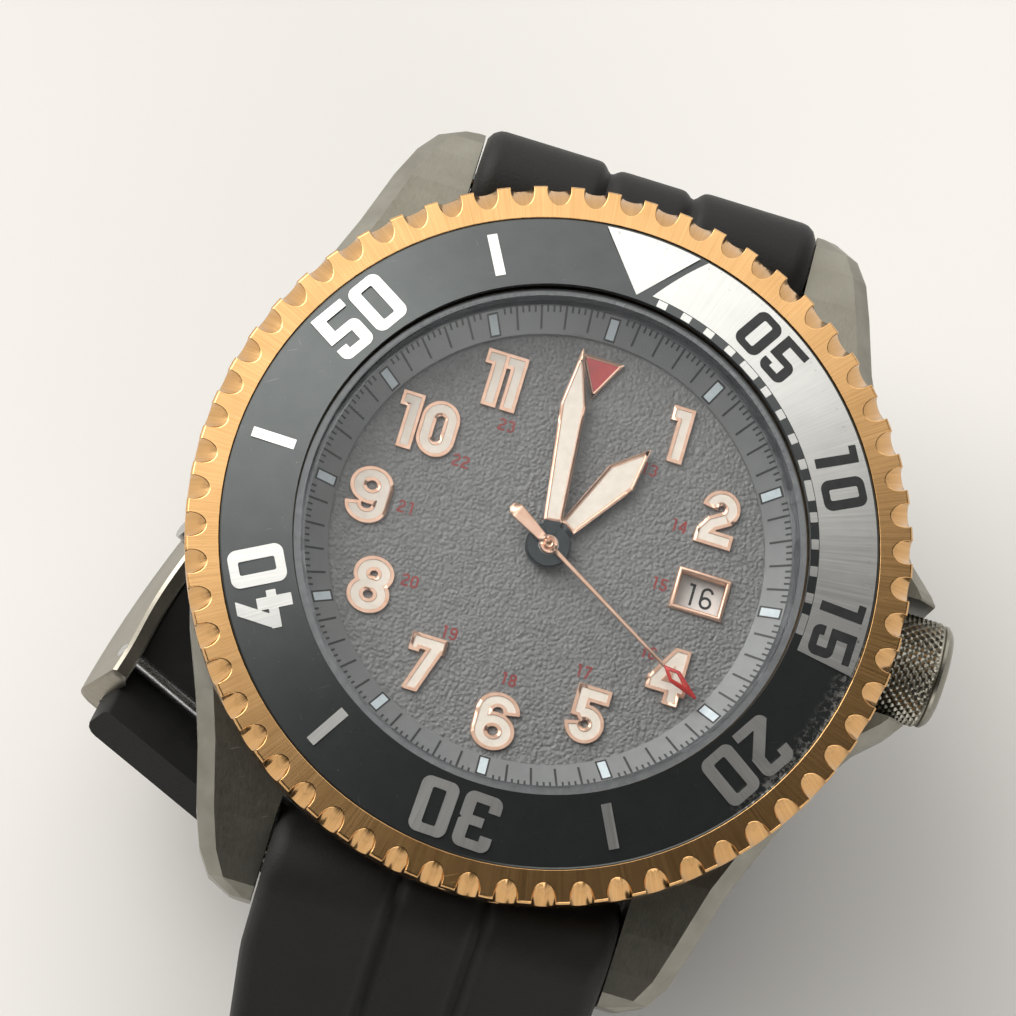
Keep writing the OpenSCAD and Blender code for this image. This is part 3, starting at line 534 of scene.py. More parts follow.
def round_digit(n, t, b, w):
    """Round-bowled digit of half height t, half width b and stroke w."""
    r = b - w / 2

    def shape(p):
        if n == 0:
            return hoop(p, t - b, r, w)
        if n == 1:
            return join(bar(p, (0.28 * b, -t), (0.28 * b, t), w),
                        bar(p, (-0.45 * b, t - 0.5 * w), (0.28 * b, t - 0.5 * w), w))
        if n == 2:
            c, q = t - 0.97 * b, 0.97 * b - w / 2
            tail = [(0.71 * q, c - 0.71 * q), (-0.34 * b, -0.26 * t), (-0.66 * b, -0.6 * t),
                    (-0.7 * b, -t + w / 2)]
            strokes = [bar(p, tail[i], tail[i + 1], w) for i in range(3)]
            joints = [disc(p, tail[i], w / 2) for i in (1, 2)]
            return join(bow(p, (0, c), q, w, -46, 172), *strokes, *joints,
                        bar(p, (-0.98 * b, -t + w / 2), (0.98 * b, -t + w / 2), w))
        if n == 3:
            return join(bow(p, (0, t - 0.94 * b), 0.94 * b - w / 2, w, -80, 165),
                        bow(p, (0, b - t), r, w, -165, 80))
        if n == 4:
            strokes = join(bar(p, (0.42 * b, -t), (0.42 * b, t), w),
                           bar(p, (-1.08 * b, -0.4 * t), (1.0 * b, -0.4 * t), 0.93 * w),
                           bar(p, (0.3 * b, 0.93 * t), (-0.82 * b, -0.32 * t), w, 0.2 * w))
            return np.maximum(strokes, np.abs(p[..., 1]) - t)
        if n == 5:
            c = b - t
            return join(bar(p, (-0.8 * b, t - w / 2), (0.92 * b, t - w / 2), w),
                        bar(p, (-0.8 * b + w / 2, t), (-0.8 * b + w / 2, -0.02 * t), w),
                        bow(p, (-0.02 * b, c), r, w, -168, 132))
        if n in (6, 9):
            q = p if n == 6 else -p
            c, s = t - 0.98 * b, 0.98 * b - w / 2
            return join(ring(q, (0, -c), s, w), bow(q, (0, c), s, w, 12, 192),
                        bar(q, (-s, -c), (-s, c), w))
        if n == 7:
            strokes = join(bar(p, (-0.92 * b, t - w / 2), (0.92 * b, t - w / 2), w),
                           bar(p, (-0.92 * b + 0.27 * w, t), (-0.92 * b + 0.27 * w, t - 1.35 * w), 0.54 * w),
                           bar(p, (0.62 * b, 0.9 * t), (-0.36 * b, -1.05 * t), w))
            return np.maximum(strokes, np.abs(p[..., 1]) - t)
        upper, lower = 0.9 * b, 0.96 * b
        return join(ring(p, (0, t - upper), upper - w / 2, w), ring(p, (0, lower - t), lower - w / 2, w))

    return shape


def square_digit(n, t, b, thick, wide):
    """Squared digit: level strokes are thick, upright ones wide, and the outer corners rounded."""
    h, v = thick / 2, wide / 2
    low, left, right = h - t, v - b, b - v

    def box(p, x0, y0, x1, y1):
        return block(p, ((x0 + x1) / 2, (y0 + y1) / 2), abs(x1 - x0) / 2, abs(y1 - y0) / 2)

    def shape(p):
        frame_edge = block(p, (0, 0), b, t, 0.55)
        if n == 0:
            return np.maximum(frame_edge, -block(p, (0, 0), b - wide, t - thick, 0.12))
        if n == 1:
            return join(box(p, -v, -t, v, t), box(p, -v - 0.5, t - thick, 0, t))
        if n == 4:
            slant = np.maximum(bar(p, (0.35 * b, t), (-0.8 * b, -0.4 * t), wide, 0.5),
                               -0.48 * t - p[..., 1])
            strokes = join(slant, box(p, -b, -0.48 * t, b, -0.48 * t + thick),
                           box(p, 0.35 * b - v, -t, 0.35 * b + v, 0.25 * t))
            return np.maximum(strokes, block(p, (0, 0), b, t))
        if n == 2:
            ends = join(box(p, -b, t - thick, b, t), box(p, -b, -t, b, -t + thick))
            strokes = join(ends, box(p, b - wide, 0.1 * t, b, t), box(p, -b, 0.42 * t, -b + wide, t),
                           bar(p, (right, 0.22 * t), (left, low + 0.1), wide, 0.1))
            return join(np.maximum(strokes, frame_edge), box(p, 0, -t, b, -t + thick))
        if n == 3:
            ends = join(box(p, -b, t - thick, b, t), box(p, -b, -t, b, -t + thick))
            strokes = join(ends, box(p, b - wide, -t, b, t), box(p, -0.3 * b, -h, b, h),
                           box(p, -b, 0.42 * t, -b + wide, t), box(p, -b, -t, -b + wide, -0.42 * t))
            notch = polygon(p, [(b - 0.18, 0), (b + 0.6, -0.5), (b + 0.6, 0.5)])
            return np.maximum(np.maximum(strokes, frame_edge), -notch)
        waist = 0.16 * t
        lower = join(box(p, -b, waist - thick, b, waist), box(p, b - wide, -t, b, waist),
                     box(p, -b, -t, b, -t + thick), box(p, -b, -t, -b + wide, -0.45 * t))
        lower = np.maximum(lower, block(p, (0, (waist - t) / 2), b, (waist + t) / 2, 0.5))
        return join(lower, box(p, -b, t - thick, b, t), box(p, -b, waist - thick, -b + wide, t))

    return shape


# ------------------------------------------------- outlines, plates, prints

def outlines(shape, reach, level=0.0, cell=0.03):
    """Closed outlines of the part of a shape below level, inside a square of half size reach."""
    n = int(2 * reach / cell) + 3
    axis = (np.arange(n) - (n - 1) / 2) * cell
    field = shape(np.stack(np.meshgrid(axis, axis, indexing="ij"), -1)) - level
    field[np.abs(field) < 1e-9] = 1e-9
    within = field < 0
    after = {}

    def cut(kind, i, j):
        di, dj = (1, 0) if kind == 0 else (0, 1)
        f0, f1 = field[i, j], field[i + di, j + dj]
        s = f0 / (f0 - f1)
        return axis[i] + s * di * cell, axis[j] + s * dj * cell

    mixed = within[:-1, :-1] ^ within[1:, :-1] | within[:-1, :-1] ^ within[:-1, 1:]
    mixed |= within[:-1, :-1] ^ within[1:, 1:]
    for i, j in zip(*np.nonzero(mixed)):
        square = [(i, j), (i + 1, j), (i + 1, j + 1), (i, j + 1)]
        sides = [(0, i, j), (1, i + 1, j), (0, i, j + 1), (1, i, j)]
        leave = [k for k in range(4) if within[square[k]] and not within[square[(k + 1) % 4]]]
        enter = [k for k in range(4) if not within[square[k]] and within[square[(k + 1) % 4]]]
        for k in leave:
            back = [(k - e) % 4 for e in enter]
            after[sides[k]] = sides[enter[back.index(min(back))]]
    loops = []
    while after:
        first, _ = next(iter(after.items()))
        loop, at = [], first
        while at in after:
            loop.append(cut(*at))
            at = after.pop(at)
        loops.append(thinned(np.array(loop)))
    return [loop for loop in loops if len(loop) > 3]


def thinned(loop, slack=0.0025, longest=0.4):
    """The loop without points that lie on a straight line between their neighbours."""
    kept = [0]
    n = len(loop)
    i = 0
    while i < n - 1:
        j = i + 1
        while j + 1 <= n:
            a, b = loop[i], loop[(j + 1) % n]
            run = b - a
            length = np.hypot(*run)
            if length > longest or length < 1e-9:
                break
            q = loop[i + 1:j + 1] - a
            if np.abs(q[:, 0] * run[1] - q[:, 1] * run[0]).max() / length > slack:
                break
            j += 1
        if j >= n:
            break
        kept.append(j)
        i = j
    return loop[kept]


def slope_of(shape, points, h=0.02):
    """Unit vectors that point out of a shape."""
    x = shape(points + [h, 0]) - shape(points - [h, 0])
    y = shape(points + [0, h]) - shape(points - [0, h])
    size = np.maximum(np.hypot(x, y), 1e-9)
    return np.stack([x / size, y / size], -1)


def plate(build, shape, reach, z0, z1, place, level=0.0, bevel=0.0, infill=0.0, cell=0.03):
    """A closed slab with a flat shape's outline, from height z0 to z1, its top edge bevelled.
    place turns (x, y, z) arrays of the flat shape into places on the watch; infill spaces inner points."""
    loops = outlines(shape, reach, level, cell)
    low = np.concatenate(loops)
    high = low - slope_of(shape, low) * bevel if bevel else low
    edge_sets, start = [], 0
    for loop in loops:
        edge_sets.append([start + k for k in range(len(loop))])
        start += len(loop)
    inner = np.zeros((0, 2))
    if infill:
        axis = np.arange(-reach, reach, infill)
        grid = np.stack(np.meshgrid(axis, axis, indexing="ij"), -1).reshape(-1, 2)
        inner = grid[shape(grid) < level - bevel - 0.35 * infill]
    points = [Vector(q) for q in np.concatenate([high, inner])]
    edges = [(a, b) for ids in edge_sets for a, b in zip(ids, ids[1:] + ids[:1])]
    got = geometry.delaunay_2d_cdt(points, edges, [], 0, 1e-7)
    corners, _, triangles, came_from = got[:4]
    index = {}
    for new, olds in enumerate(came_from):
        for old in olds:
            index[old] = new
    flat = np.array([c[:] for c in corners])
    middles = flat[np.array(triangles)].mean(axis=1)
    kept = [f for f, depth in zip(triangles, shape(middles)) if depth < level - bevel / 2]
    base = flat.copy()
    for old in range(len(low)):
        base[index[old]] = low[old]
    count = len(flat)
    z_high = np.full(count, z1)
    z_low = np.full(count, z0)
    z_shoulder = z1 - bevel
    layers = [place(flat[:, 0], flat[:, 1], z_high), place(base[:, 0], base[:, 1], z_low)]
    faces = [tuple(f) for f in kept] + [tuple(count + i for i in reversed(f)) for f in kept]
    if bevel:
        layers.append(place(base[:, 0], base[:, 1], np.full(count, z_shoulder)))
    for ids in edge_sets:
        for a, b in zip(ids, ids[1:] + ids[:1]):
            a, b = index[a], index[b]
            if a == b:
                continue
            if bevel:
                faces.append((a, b, 2 * count + b, 2 * count + a))
                faces.append((2 * count + a, 2 * count + b, count + b, count + a))
            else:
                faces.append((a, b, count + b, count + a))
    everything = np.concatenate(layers)
    used = sorted({i for f in faces for i in f})
    renumber = {old: new for new, old in enumerate(used)}
    build.add(everything[used], [tuple(renumber[i] for i in f) for f in faces])


def laid_flat(cx, cy, turn=0.0):
    """Place for a flat shape: turned clockwise by turn degrees, then centred on (cx, cy)."""
    c, s = cos_sin(turn)
    return lambda x, y, z: np.stack([cx + x * c + y * s, cy - x * s + y * c, z], -1)


def on_cone(angle, radius, base_z, slope, base_r):
    """Place for a print on a cone round the dial's axis, up pointing outward at that clock angle."""
    c, s = cos_sin(angle)

    def place(x, y, z):
        px, py = (radius + y) * s + x * c, (radius + y) * c - x * s
        return np.stack([px, py, base_z + slope * (np.hypot(px, py) - base_r) + z], -1)

    return place


def on_insert(angle, radius):
    return on_cone(angle, radius, INSERT_TOP, CONE_SLOPE, INSERT_IN)


# ------------------------------------------------------------------- dial

# Centre of each raised numeral, in millimetres, and the digits that it is made of
HOURS = {
    1: (5.76, 9.13), 2: (9.57, 4.84), 4: (9.34, -5.4), 5: (5.2, -9.17), 6: (-0.02, -11.18),
    7: (-5.2, -9.1), 8: (-9.6, -5.38), 9: (-11.3, -0.09), 10: (-9.18, 5.07), 11: (-5.49, 9.14),
}
HOUR_HALF_HEIGHT = 1.6
HOUR_HALF_WIDTH = 1.02
HOUR_STROKE = 0.6
BOWL_STROKE = 0.54
BOWL_WIDENING = 1.14
RIM = 0.18
NUMERAL_TOP = 0.24


def shifted(shape, dx):
    return lambda p: shape(p - np.array([dx, 0.0]))


def joined(shapes):
    return lambda p: join(*(shape(p) for shape in shapes))


def hour_digit(n):
    """A digit of the hours; those with closed bowls are wider and a little thinner."""
    if n not in (6, 8, 9):
        return round_digit(n, HOUR_HALF_HEIGHT, HOUR_HALF_WIDTH, HOUR_STROKE)
    plain = round_digit(n, HOUR_HALF_HEIGHT, HOUR_HALF_WIDTH, BOWL_STROKE)
    return lambda p: plain(p / np.array([BOWL_WIDENING, 1.0]))


def hour_shape(n):
    """Outline of a raised hour numeral, from its digits and how far right of the middle each stands."""
    uneven = {1: [(1, -0.1)], 10: [(1, -1.32), (0, 0.72)], 11: [(1, -0.78), (1, 0.42)]}
    return joined([shifted(hour_digit(k), dx) for k, dx in uneven.get(n, [(n, 0.0)])])


def between_levels(shape, low, high):
    """The band of a shape's surroundings from signed distance low to high."""
    return lambda p: np.maximum(low - shape(p), shape(p) - high)


def hour_numerals():
    rims, fills = Build(), Build()
    for n, (x, y) in HOURS.items():
        shape = hour_shape(n)
        place = laid_flat(x, y)
        plate(rims, between_levels(shape, -0.04, RIM), 2.6, DIAL_TOP - 0.05, DIAL_TOP + NUMERAL_TOP,
              place, bevel=0.02)
        plate(fills, shape, 2.6, DIAL_TOP - 0.05, DIAL_TOP + NUMERAL_TOP - 0.05, place, level=-0.02)
    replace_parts(rims.piece("hour_numeral_rims", "head", HAND_GOLD, "rose_gold"), "hour_numerals")
    fills.piece("hour_numeral_fills", "head", FINISHES["lume_cream"], "lume_cream")


def twelve_marker():
    """Plain triangle in red enamel with a rose gold rim, point towards the centre."""
    (_, foot, _), (half, head, _) = box_of("twelve_marker")
    middle = (head + foot) / 2
    outline = mirrored([(0, foot - middle), (half, head - middle)])
    rim, fill = Build(), Build()
    place = laid_flat(0, middle)
    plate(rim, between_levels(inside(outline), -0.22, -0.02), 2.2, DIAL_TOP - 0.05, DIAL_TOP + 0.28,
          place, bevel=0.04)
    plate(fill, inside(outline), 2.2, DIAL_TOP - 0.05, DIAL_TOP + 0.2, place, level=-0.2)
    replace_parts(rim.piece("twelve_marker_rim", "head", HAND_GOLD, "rose_gold"), "twelve_marker")
    fill.piece("twelve_marker_fill", "head", FINISHES["enamel_red"], "enamel_red")


def number(n, t, b, w, pitch):
    """The number n in round digits of half height t, half width b and stroke w."""
    digits = [round_digit(int(k), t, b, w) for k in str(n)]
    return joined([shifted(digit, pitch * (i - (len(digits) - 1) / 2)) for i, digit in enumerate(digits)])


def day_hours():
    """The small dark red 13 to 23 inside the hour numerals."""
    places = {
        13: (4.62, 6.56), 14: (7.33, 3.71), 15: (7.17, -0.11), 16: (7.69, -4.36), 17: (4.24, -6.66),
        18: (0.02, -8.47), 19: (-4.23, -6.79), 20: (-7.39, -4.44), 21: (-8.93, -0.15),
        22: (-6.56, 3.61), 23: (-4.51, 6.58),
    }
    ink = Build()
    for n, (x, y) in places.items():
        plate(ink, number(n, 0.39, 0.24, 0.125, 0.57), 0.75, DIAL_TOP - 0.02, DIAL_TOP + 0.012,
              laid_flat(x, y), cell=0.015)
    ink.piece("day_hour_print", "head", RED_INK, "enamel_red")


def date_ring():
    """Numbers 1 to 31 round the date disc; 16 stands in the window."""
    low, high = box_of("date_frame")
    window = (low[0] + high[0]) / 2
    top = box_of("date_disc")[1][2]
    ink = Build()
    for n in range(1, 32):
        turn = 360 * (n - 16) / 31
        c, s = cos_sin(turn)
        plate(ink, number(n, 0.68, 0.4, 0.16, 1.0), 1.0, top - 0.02, top + 0.01,
              laid_flat(window * c, -window * s, turn), cell=0.025)
    ink.piece("date_numbers", "date", BLACK_INK, "date_white")


def date_surround():
    """Rose gold window frame with a rounded section and mitred corners."""
    low, high = box_of("date_frame")
    middle, half = (low + high) / 2, (high - low) / 2
    width, height = 0.34, high[2] - low[2] + 0.12
    # how far in from the edge and how high above the foot each ring lies
    section = [(0, -0.02)]
    for step in range(9):
        turn = math.pi * step / 8
        section.append((width * (1 - math.cos(turn)) / 2, height * math.sin(turn) ** 0.7))
    section.append((width, -0.45))
    rings = []
    for inset, rise in section:
        x, y = half[0] - inset, half[1] - inset
        rings.append([(middle[0] + sx * x, middle[1] + sy * y, low[2] + rise)
                      for sx, sy in ((-1, -1), (1, -1), (1, 1), (-1, 1))])
    made = Build(*loft(rings, close_ends=False)).piece("date_window_frame", "head", HAND_GOLD,
                                                       "rose_gold", 50)
    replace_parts(made, "date_frame")


def flange_marks():
    """Minute ticks, quarter ticks and pale hour blocks on the sloping flange."""
    low_r, high_r = 13.35, 14.95
    low_z = DIAL_TOP + 0.3
    slope = (box_of("chapter_ring")[1][2] - low_z) / (high_r - low_r)
    ink, blocks = Build(), Build()

    def mark(build, angle, inner, outer, width, rise):
        half = (outer - inner) / 2
        plate(build, lambda p: block(p, (0, 0), width / 2, half), half + 0.1, -0.02, rise,
              on_cone(angle, (inner + outer) / 2, low_z, slope, low_r), cell=0.025)

    for quarter in range(240):
        angle = quarter * 1.5
        if quarter % 20 == 0:
            mark(ink, angle, 13.42, 14.72, 0.72, 0.012)
            mark(blocks, angle, 13.53, 14.61, 0.5, 0.022)
        elif quarter % 4 == 0:
            mark(ink, angle, 13.6, 14.88, 0.14, 0.012)
        elif min(quarter % 20, 20 - quarter % 20) > 1:
            mark(ink, angle, 14.5, 14.88, 0.13, 0.012)
    ink.piece("flange_ticks", "head", BLACK_INK, "flange_grey")
    blocks.piece("flange_blocks", "head", BLOCK_WHITE, "lume_cream")


# ------------------------------------------------------------------ hands


def bored(shape, radius):
    return lambda p: np.maximum(shape(p), -disc(p, (0, 0), radius))


def lume_hand(name, body, turn, points, border, boss_r):
    """Rose gold frame with a bevelled edge, cream fill and a dark boss over the centre."""
    low, high = (corner[2] for corner in box_of(name))
    outline = inside(mirrored(points))
    reach = max(y for _, y in points) + 0.3
    root = points[0][1] / 2
    place = laid_flat(0, 0, turn)
    rim, fill, boss = Build(), Build(), Build()
    plate(rim, between_levels(outline, -border, 0), reach, low, high, place, bevel=0.07, cell=0.05)
    plate(fill, outline, reach, low + 0.02, high - 0.05, place, level=0.03 - border, cell=0.05)

    def neck(p):
        return join(disc(p, (0, 0), boss_r), block(p, (0, root), 0.5, root + 0.08))

    plate(boss, bored(neck, 0.36), boss_r + 0.5, low, high - 0.01, place, bevel=0.03, cell=0.04)
    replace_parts(rim.piece(name + "_frame", body, HAND_GOLD, "rose_gold"), name)
    fill.piece(name + "_fill", body, FINISHES["lume_cream"], "lume_cream", 5)
    boss.piece(name + "_boss", body, HUB_BLACK, "rose_gold")


def second_hand():
    """Thin rose gold hand with a paddle tail and a red lance tip with a small window."""
    low, high = (corner[2] for corner in box_of("second_hand"))
    thick_top = low + 0.15
    place = laid_flat(0, 0, 120.2)
    tip, window_at, lance_base = 12.9, 11.0, 10.35
    stem = inside(mirrored([(0.15, 0), (0.09, lance_base + 0.1)]))
    tail = inside(mirrored([(0.2, -3.28), (0.46, -2.9), (0.24, 0.2)]))
    whole = inside(mirrored([(0, lance_base - 0.3), (0.46, window_at + 0.05), (0.07, tip)]))
    hole = inside(mirrored([(0, lance_base + 0.22), (0.22, window_at + 0.02), (0, window_at + 0.75)]))
    shaft = bored(lambda p: join(disc(p, (0, 0), 0.56), stem(p), tail(p)), 0.16)
    gold, red, pin = Build(), Build(), Build()
    plate(gold, shaft, tip, low, thick_top, place, bevel=0.045, cell=0.04)
    plate(red, lambda p: np.maximum(whole(p), -hole(p)), tip + 0.2, low + 0.01, thick_top + 0.005,
          place, bevel=0.04, cell=0.04)
    plate(pin, lambda p: ring(p, (0, 0), 0.19, 0.15), 0.5, low, high, place, bevel=0.04, cell=0.015)
    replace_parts(gold.piece("second_hand_shaft", "seconds", HAND_GOLD, "rose_gold"), "second_hand")
    red.piece("second_hand_lance", "seconds", FINISHES["enamel_red"], "enamel_red")
    pin.piece("second_hand_collar", "seconds", HAND_GOLD, "rose_gold")


# ------------------------------------------------------------- bezel print

PRINT_R = 17.7
PRINT_TURN = 2.6
PRINT_RISE, PRINT_SINK = 0.014, -0.03


def bezel_numeral(build, minute, angle, radius, scale, height):
    """Two squared digits side by side on the insert."""
    t, b, thick, wide, pitch = (scale * size for size in (1.68, 1.16, 0.58, 0.74, 2.72))
    tens, units = divmod(minute, 10)
    left_at, right_at = (-1.34, 0.72) if tens == 1 else (-pitch / 2, pitch / 2)
    both = joined([shifted(square_digit(tens, t, b, thick, wide), left_at),
                   shifted(square_digit(units, t, b, thick, wide), right_at)])
    plate(build, both, 3.0, PRINT_SINK, height, on_insert(angle, radius), infill=0.5, cell=0.035)


def bezel_triangle(build):
    """The zero mark, its base following the rim of the insert."""
    apex, half_base, height = 15.85 - PRINT_R, 2.98, 3.6
    wedge = inside(mirrored([(0, apex), (2 * half_base, apex + 2 * height)]))

    def shape(p):
        return np.maximum(wedge(p), disc(p, (0, -PRINT_R), INSERT_OUT - 0.1))

    plate(build, shape, 3.3, PRINT_SINK, PRINT_RISE, on_insert(PRINT_TURN - 0.1, PRINT_R),
          infill=0.5, cell=0.04)


def bezel_print():
    """Bare metal numerals, bars, triangle and first quarter on the slate insert."""
    bare, ink = Build(), Build()

    def bar_at(minute, radius, width, length, reach):
        plate(bare, lambda p: block(p, (0, 0), width / 2, length / 2), reach, PRINT_SINK, PRINT_RISE,
              on_insert(minute * 6 + PRINT_TURN, radius), cell=0.04)

    for minute in (20, 30, 40, 50):
        bezel_numeral(bare, minute, minute * 6 + PRINT_TURN, PRINT_R + 0.02, 1.0, PRINT_RISE)
        bar_at(minute + 5, PRINT_R + 0.02, 0.62, 2.7, 1.5)
    for minute, angle in ((5, 31.8), (10, 61.9), (15, 91.9)):
        bezel_numeral(ink, minute, angle, PRINT_R + 0.25, 0.82, PRINT_RISE + 0.01)
    for minute in range(1, 16):
        bar_at(minute, 15.86, 1.28 if minute % 5 == 0 else 0.62, 0.46, 0.8)
    bezel_triangle(bare)
    bezel_sector(bare)
    bare.piece("insert_bare_marks", "bezel", BARE_METAL, "insert_slate")
    ink.piece("insert_dark_numerals", "bezel", SLATE_INK, "insert_slate")


def bezel_sector(build):
    """Bare metal from just past the triangle to the 15 minute mark."""
    inner, outer, columns, rows = 16.14, INSERT_OUT - 0.08, 96, 8
    inner_start, outer_start, end = 5.9, 12.9, 98.2
    rings = []
    for i in range(columns + 1):
        top, low = [], []
        for j in range(rows + 1):
            r = inner + (outer - inner) * j / rows
            start = inner_start + (outer_start - inner_start) * j / rows
            c, s = cos_sin(start + (end - start) * i / columns)
            z = INSERT_TOP + CONE_SLOPE * (r - INSERT_IN)
            top.append((r * s, r * c, z + PRINT_RISE))
            low.append((r * s, r * c, z + PRINT_SINK))
        rings.append(top + low[::-1])
    build.add(*loft(rings))


# ----------------------------------------------------------- strap rubber

BAR_Y, BAR_Z = 22.3, 3.0
BOSS_R = 3.6
STRAP_WIDTH = 21.8
PATH_LIFT = 1.3
CASE_CLEARANCE_R = 21.6


def ramp(s, a, b):
    return min(max((s - a) / (b - a), 0.0), 1.0)


def upper_heading(s):
    """Travel and width directions of the short strap piece at length s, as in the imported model."""
    (ch, sh), (cy, sy) = cos_sin(-84 - 71.4 * ramp(s, 0, 11.5)), cos_sin(31 * ramp(s, 0, 27.6))
    cr, sr = cos_sin(23.9 * ramp(s, 4, 27.6))
    d = np.array([sy * ch, cy * ch, sh])
    w = np.array([cy, -sy, 0])
    return d, cr * w + sr * np.cross(w, d)


def lower_heading(s):
    c, s = cos_sin(225 - 45 * ramp(s, 21.4, 45.4))
    return np.array([0, c, s]), np.array([-1.0, 0, 0])


def path(start, heading, length, steps):
    """Points with travel and width directions, a fixed step apart."""
    step = length / steps
    p = np.array(start, float)
    out = []
    for i in range(steps + 1):
        out.append((p.copy(), *heading(i * step)))
        p = p + step * heading((i + 0.5) * step)[0]
    return out


def channel(u, depth):
    """Depth of the shallow channel and its two bordering grooves, u from the strap's middle."""
    past = abs(u) - 2.75
    return depth * (0.45 / (1 + math.exp(past / 0.18)) + math.exp(-((past / 0.42) ** 2)))


SECTION = ([-1 + 0.02 * k for k in range(3)] + [-0.9 + 0.05 * k for k in range(9)]
           + [-0.42 + 0.02 * k for k in range(43)] + [0.5 + 0.05 * k for k in range(9)]
           + [0.96 + 0.02 * k for k in range(3)])


def strap_section(width, above, below, corner, depth):
    """Points (u, v) round the strap: the outer face with its channel, then the plain inner face."""
    half, flat, lower = width / 2, width / 2 - corner, min(corner, 0.4)
    face = [(u * flat, above - channel(u * flat, depth)) for u in SECTION]
    side = []
    for turn in (70, 45, 20):
        c, s = cos_sin(turn)
        side.append((flat + corner * c, above - corner + corner * s))
    side += [(half, below + lower), (half - 0.3 * lower, below + 0.3 * lower), (half - lower, below)]
    return face + side + [(-u, v) for u, v in reversed(side)]


def boss_rings(bar_point, direction, width_axis, depth):
    """Sections that sweep round the spring bar, from under it over its case side to its top."""
    normal = np.cross(width_axis, direction)
    rings = []
    for turn in np.arange(-262, 1, 8.0):
        c, s = cos_sin(turn)
        section = strap_section(STRAP_WIDTH, BOSS_R, 0.95, 1.1, depth * ramp(turn, -120, -70))
        rings.append([bar_point + u * width_axis + v * (c * normal + s * direction) for u, v in section])
    return rings


def clear_of_case(ring):
    """Pushes a ring out to the case's radius.
    It does so at every height, so the short strap piece flares into a bowl below the head.
    """
    out = []
    for x, y, z in ring:
        k = max(1.0, CASE_CLEARANCE_R / math.hypot(x, y)) if abs(y) < 26 else 1.0
        out.append((x * k, y * k, z))
    return out


def strap(name, node, body, frames, bar_point, widths, thicks, depths):
    """One strap piece: the boss round its spring bar, then the strap along its path."""
    rings = boss_rings(np.array(bar_point), *frames[0][1:], depths[0])
    for (p, d, w), width, thick, depth in zip(frames, widths, thicks, depths):
        section = strap_section(width, thick / 2, -thick / 2, min(1.1, 0.4 * thick), depth)
        rings.append([p + u * w + v * np.cross(w, d) for u, v in section])
    made = Build(*loft([clear_of_case(ring) for ring in rings])).piece(
        name, body, FINISHES["strap_rubber"], "strap_rubber", 50)
    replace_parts(made, node)
    return made


def upper_strap():
    steps, length = 40, 27.6
    frames = path((0, BAR_Y + PATH_LIFT, BAR_Z), upper_heading, length, steps)
    at = [length * i / steps for i in range(steps + 1)]
    thicks = [4.6 - 2.6 * ramp(s, 1, 26) for s in at]
    depths = [0.5 * (1 - ramp(s, 20, 27)) for s in at]
    base, d, w = frames[-1]
    n = np.cross(w, d)
    clasp_shell(base, d, w, n)
    for turn in [*np.arange(2, 62.0, 2.5), 62.0]:
        c, s = cos_sin(turn)
        frames.append((base - CLASP_R * n + (CLASP_R - 0.3) * (s * d + c * n), c * d - s * n, w))
        thicks.append(2.6)
        depths.append(0.0)
    strap("strap_upper_rubber", "strap_upper", "upper_strap", frames, (0, BAR_Y, BAR_Z),
          [STRAP_WIDTH] * len(frames), thicks, depths)


def lower_strap():
    steps, length = 120, 112.0
    c, s = cos_sin(45)
    start = (0, -BAR_Y - PATH_LIFT * s, BAR_Z + PATH_LIFT * c)
    frames = path(start, lower_heading, length, steps)
    widths, thicks, depths = [], [], []
    for i in range(steps + 1):
        s = length * i / steps
        full = STRAP_WIDTH - 1.5 * ramp(s, 5, 12) - 2 * ramp(s, 12, 70)
        widths.append(full * math.sqrt(max(0.05, 1 - ramp(s, length - 8, length) ** 2)))
        thicks.append(4.6 - 1.6 * ramp(s, 1, 40))
        depths.append(0.5 * (1 - ramp(s, 44, 52)))
    made = strap("strap_lower_rubber", "strap_lower", "lower_strap", frames, (0, -BAR_Y, BAR_Z),
                 widths, thicks, depths)
    _, tip_y, tip_z = frames[-1][0]
    cut_through(made, [((0, tip_y + 14 + 6.5 * k, tip_z), (0, 0, 1), 1.1, 8) for k in range(7)])


def cut_through(made, holes):
    """Bores round holes in a piece, each given by its centre, axis, radius and length."""
    cutter = Build()
    for centre, axis, radius, length in holes:
        axis = np.array(axis, float)
        across = np.cross(axis, (0.3, 0.5, 0.8) if abs(axis[2]) < 0.9 else (1, 0, 0))
        across /= np.linalg.norm(across)
        beside = np.cross(axis, across)
        turns = np.linspace(0, 2 * math.pi, 32, endpoint=False)
        rim = [radius * (math.cos(a) * across + math.sin(a) * beside) for a in turns]
        cutter.add(*loft([[centre + point + side * length / 2 * axis for point in rim]
                          for side in (-1, 1)]))
    tool = new_object("hole_cutter", cutter.mesh("hole_cutter"))
    cut = made.modifiers.new("holes", "BOOLEAN")
    cut.operation = "DIFFERENCE"
    cut.solver = "EXACT"
    cut.object = tool
    bpy.context.view_layer.update()
    whole = bpy.data.meshes.new_from_object(made.evaluated_get(bpy.context.evaluated_depsgraph_get()))
    made.modifiers.clear()
    made.data = whole
    bpy.data.objects.remove(tool)


# ------------------------------------------------------------------ clasp

CLASP_R = 25.3
CLASP_HALF = 12.1
CLASP_WALL = 1.15
CLASP_TOP = 1.86
CLASP_UNDER = 1.06
CLASP_LOW = -1.9
CLASP_EAR = 1.0
CLASP_PIN_AT, CLASP_PIN_DEPTH = 52, -2.2
CLASP_BUTTON_AT = 28


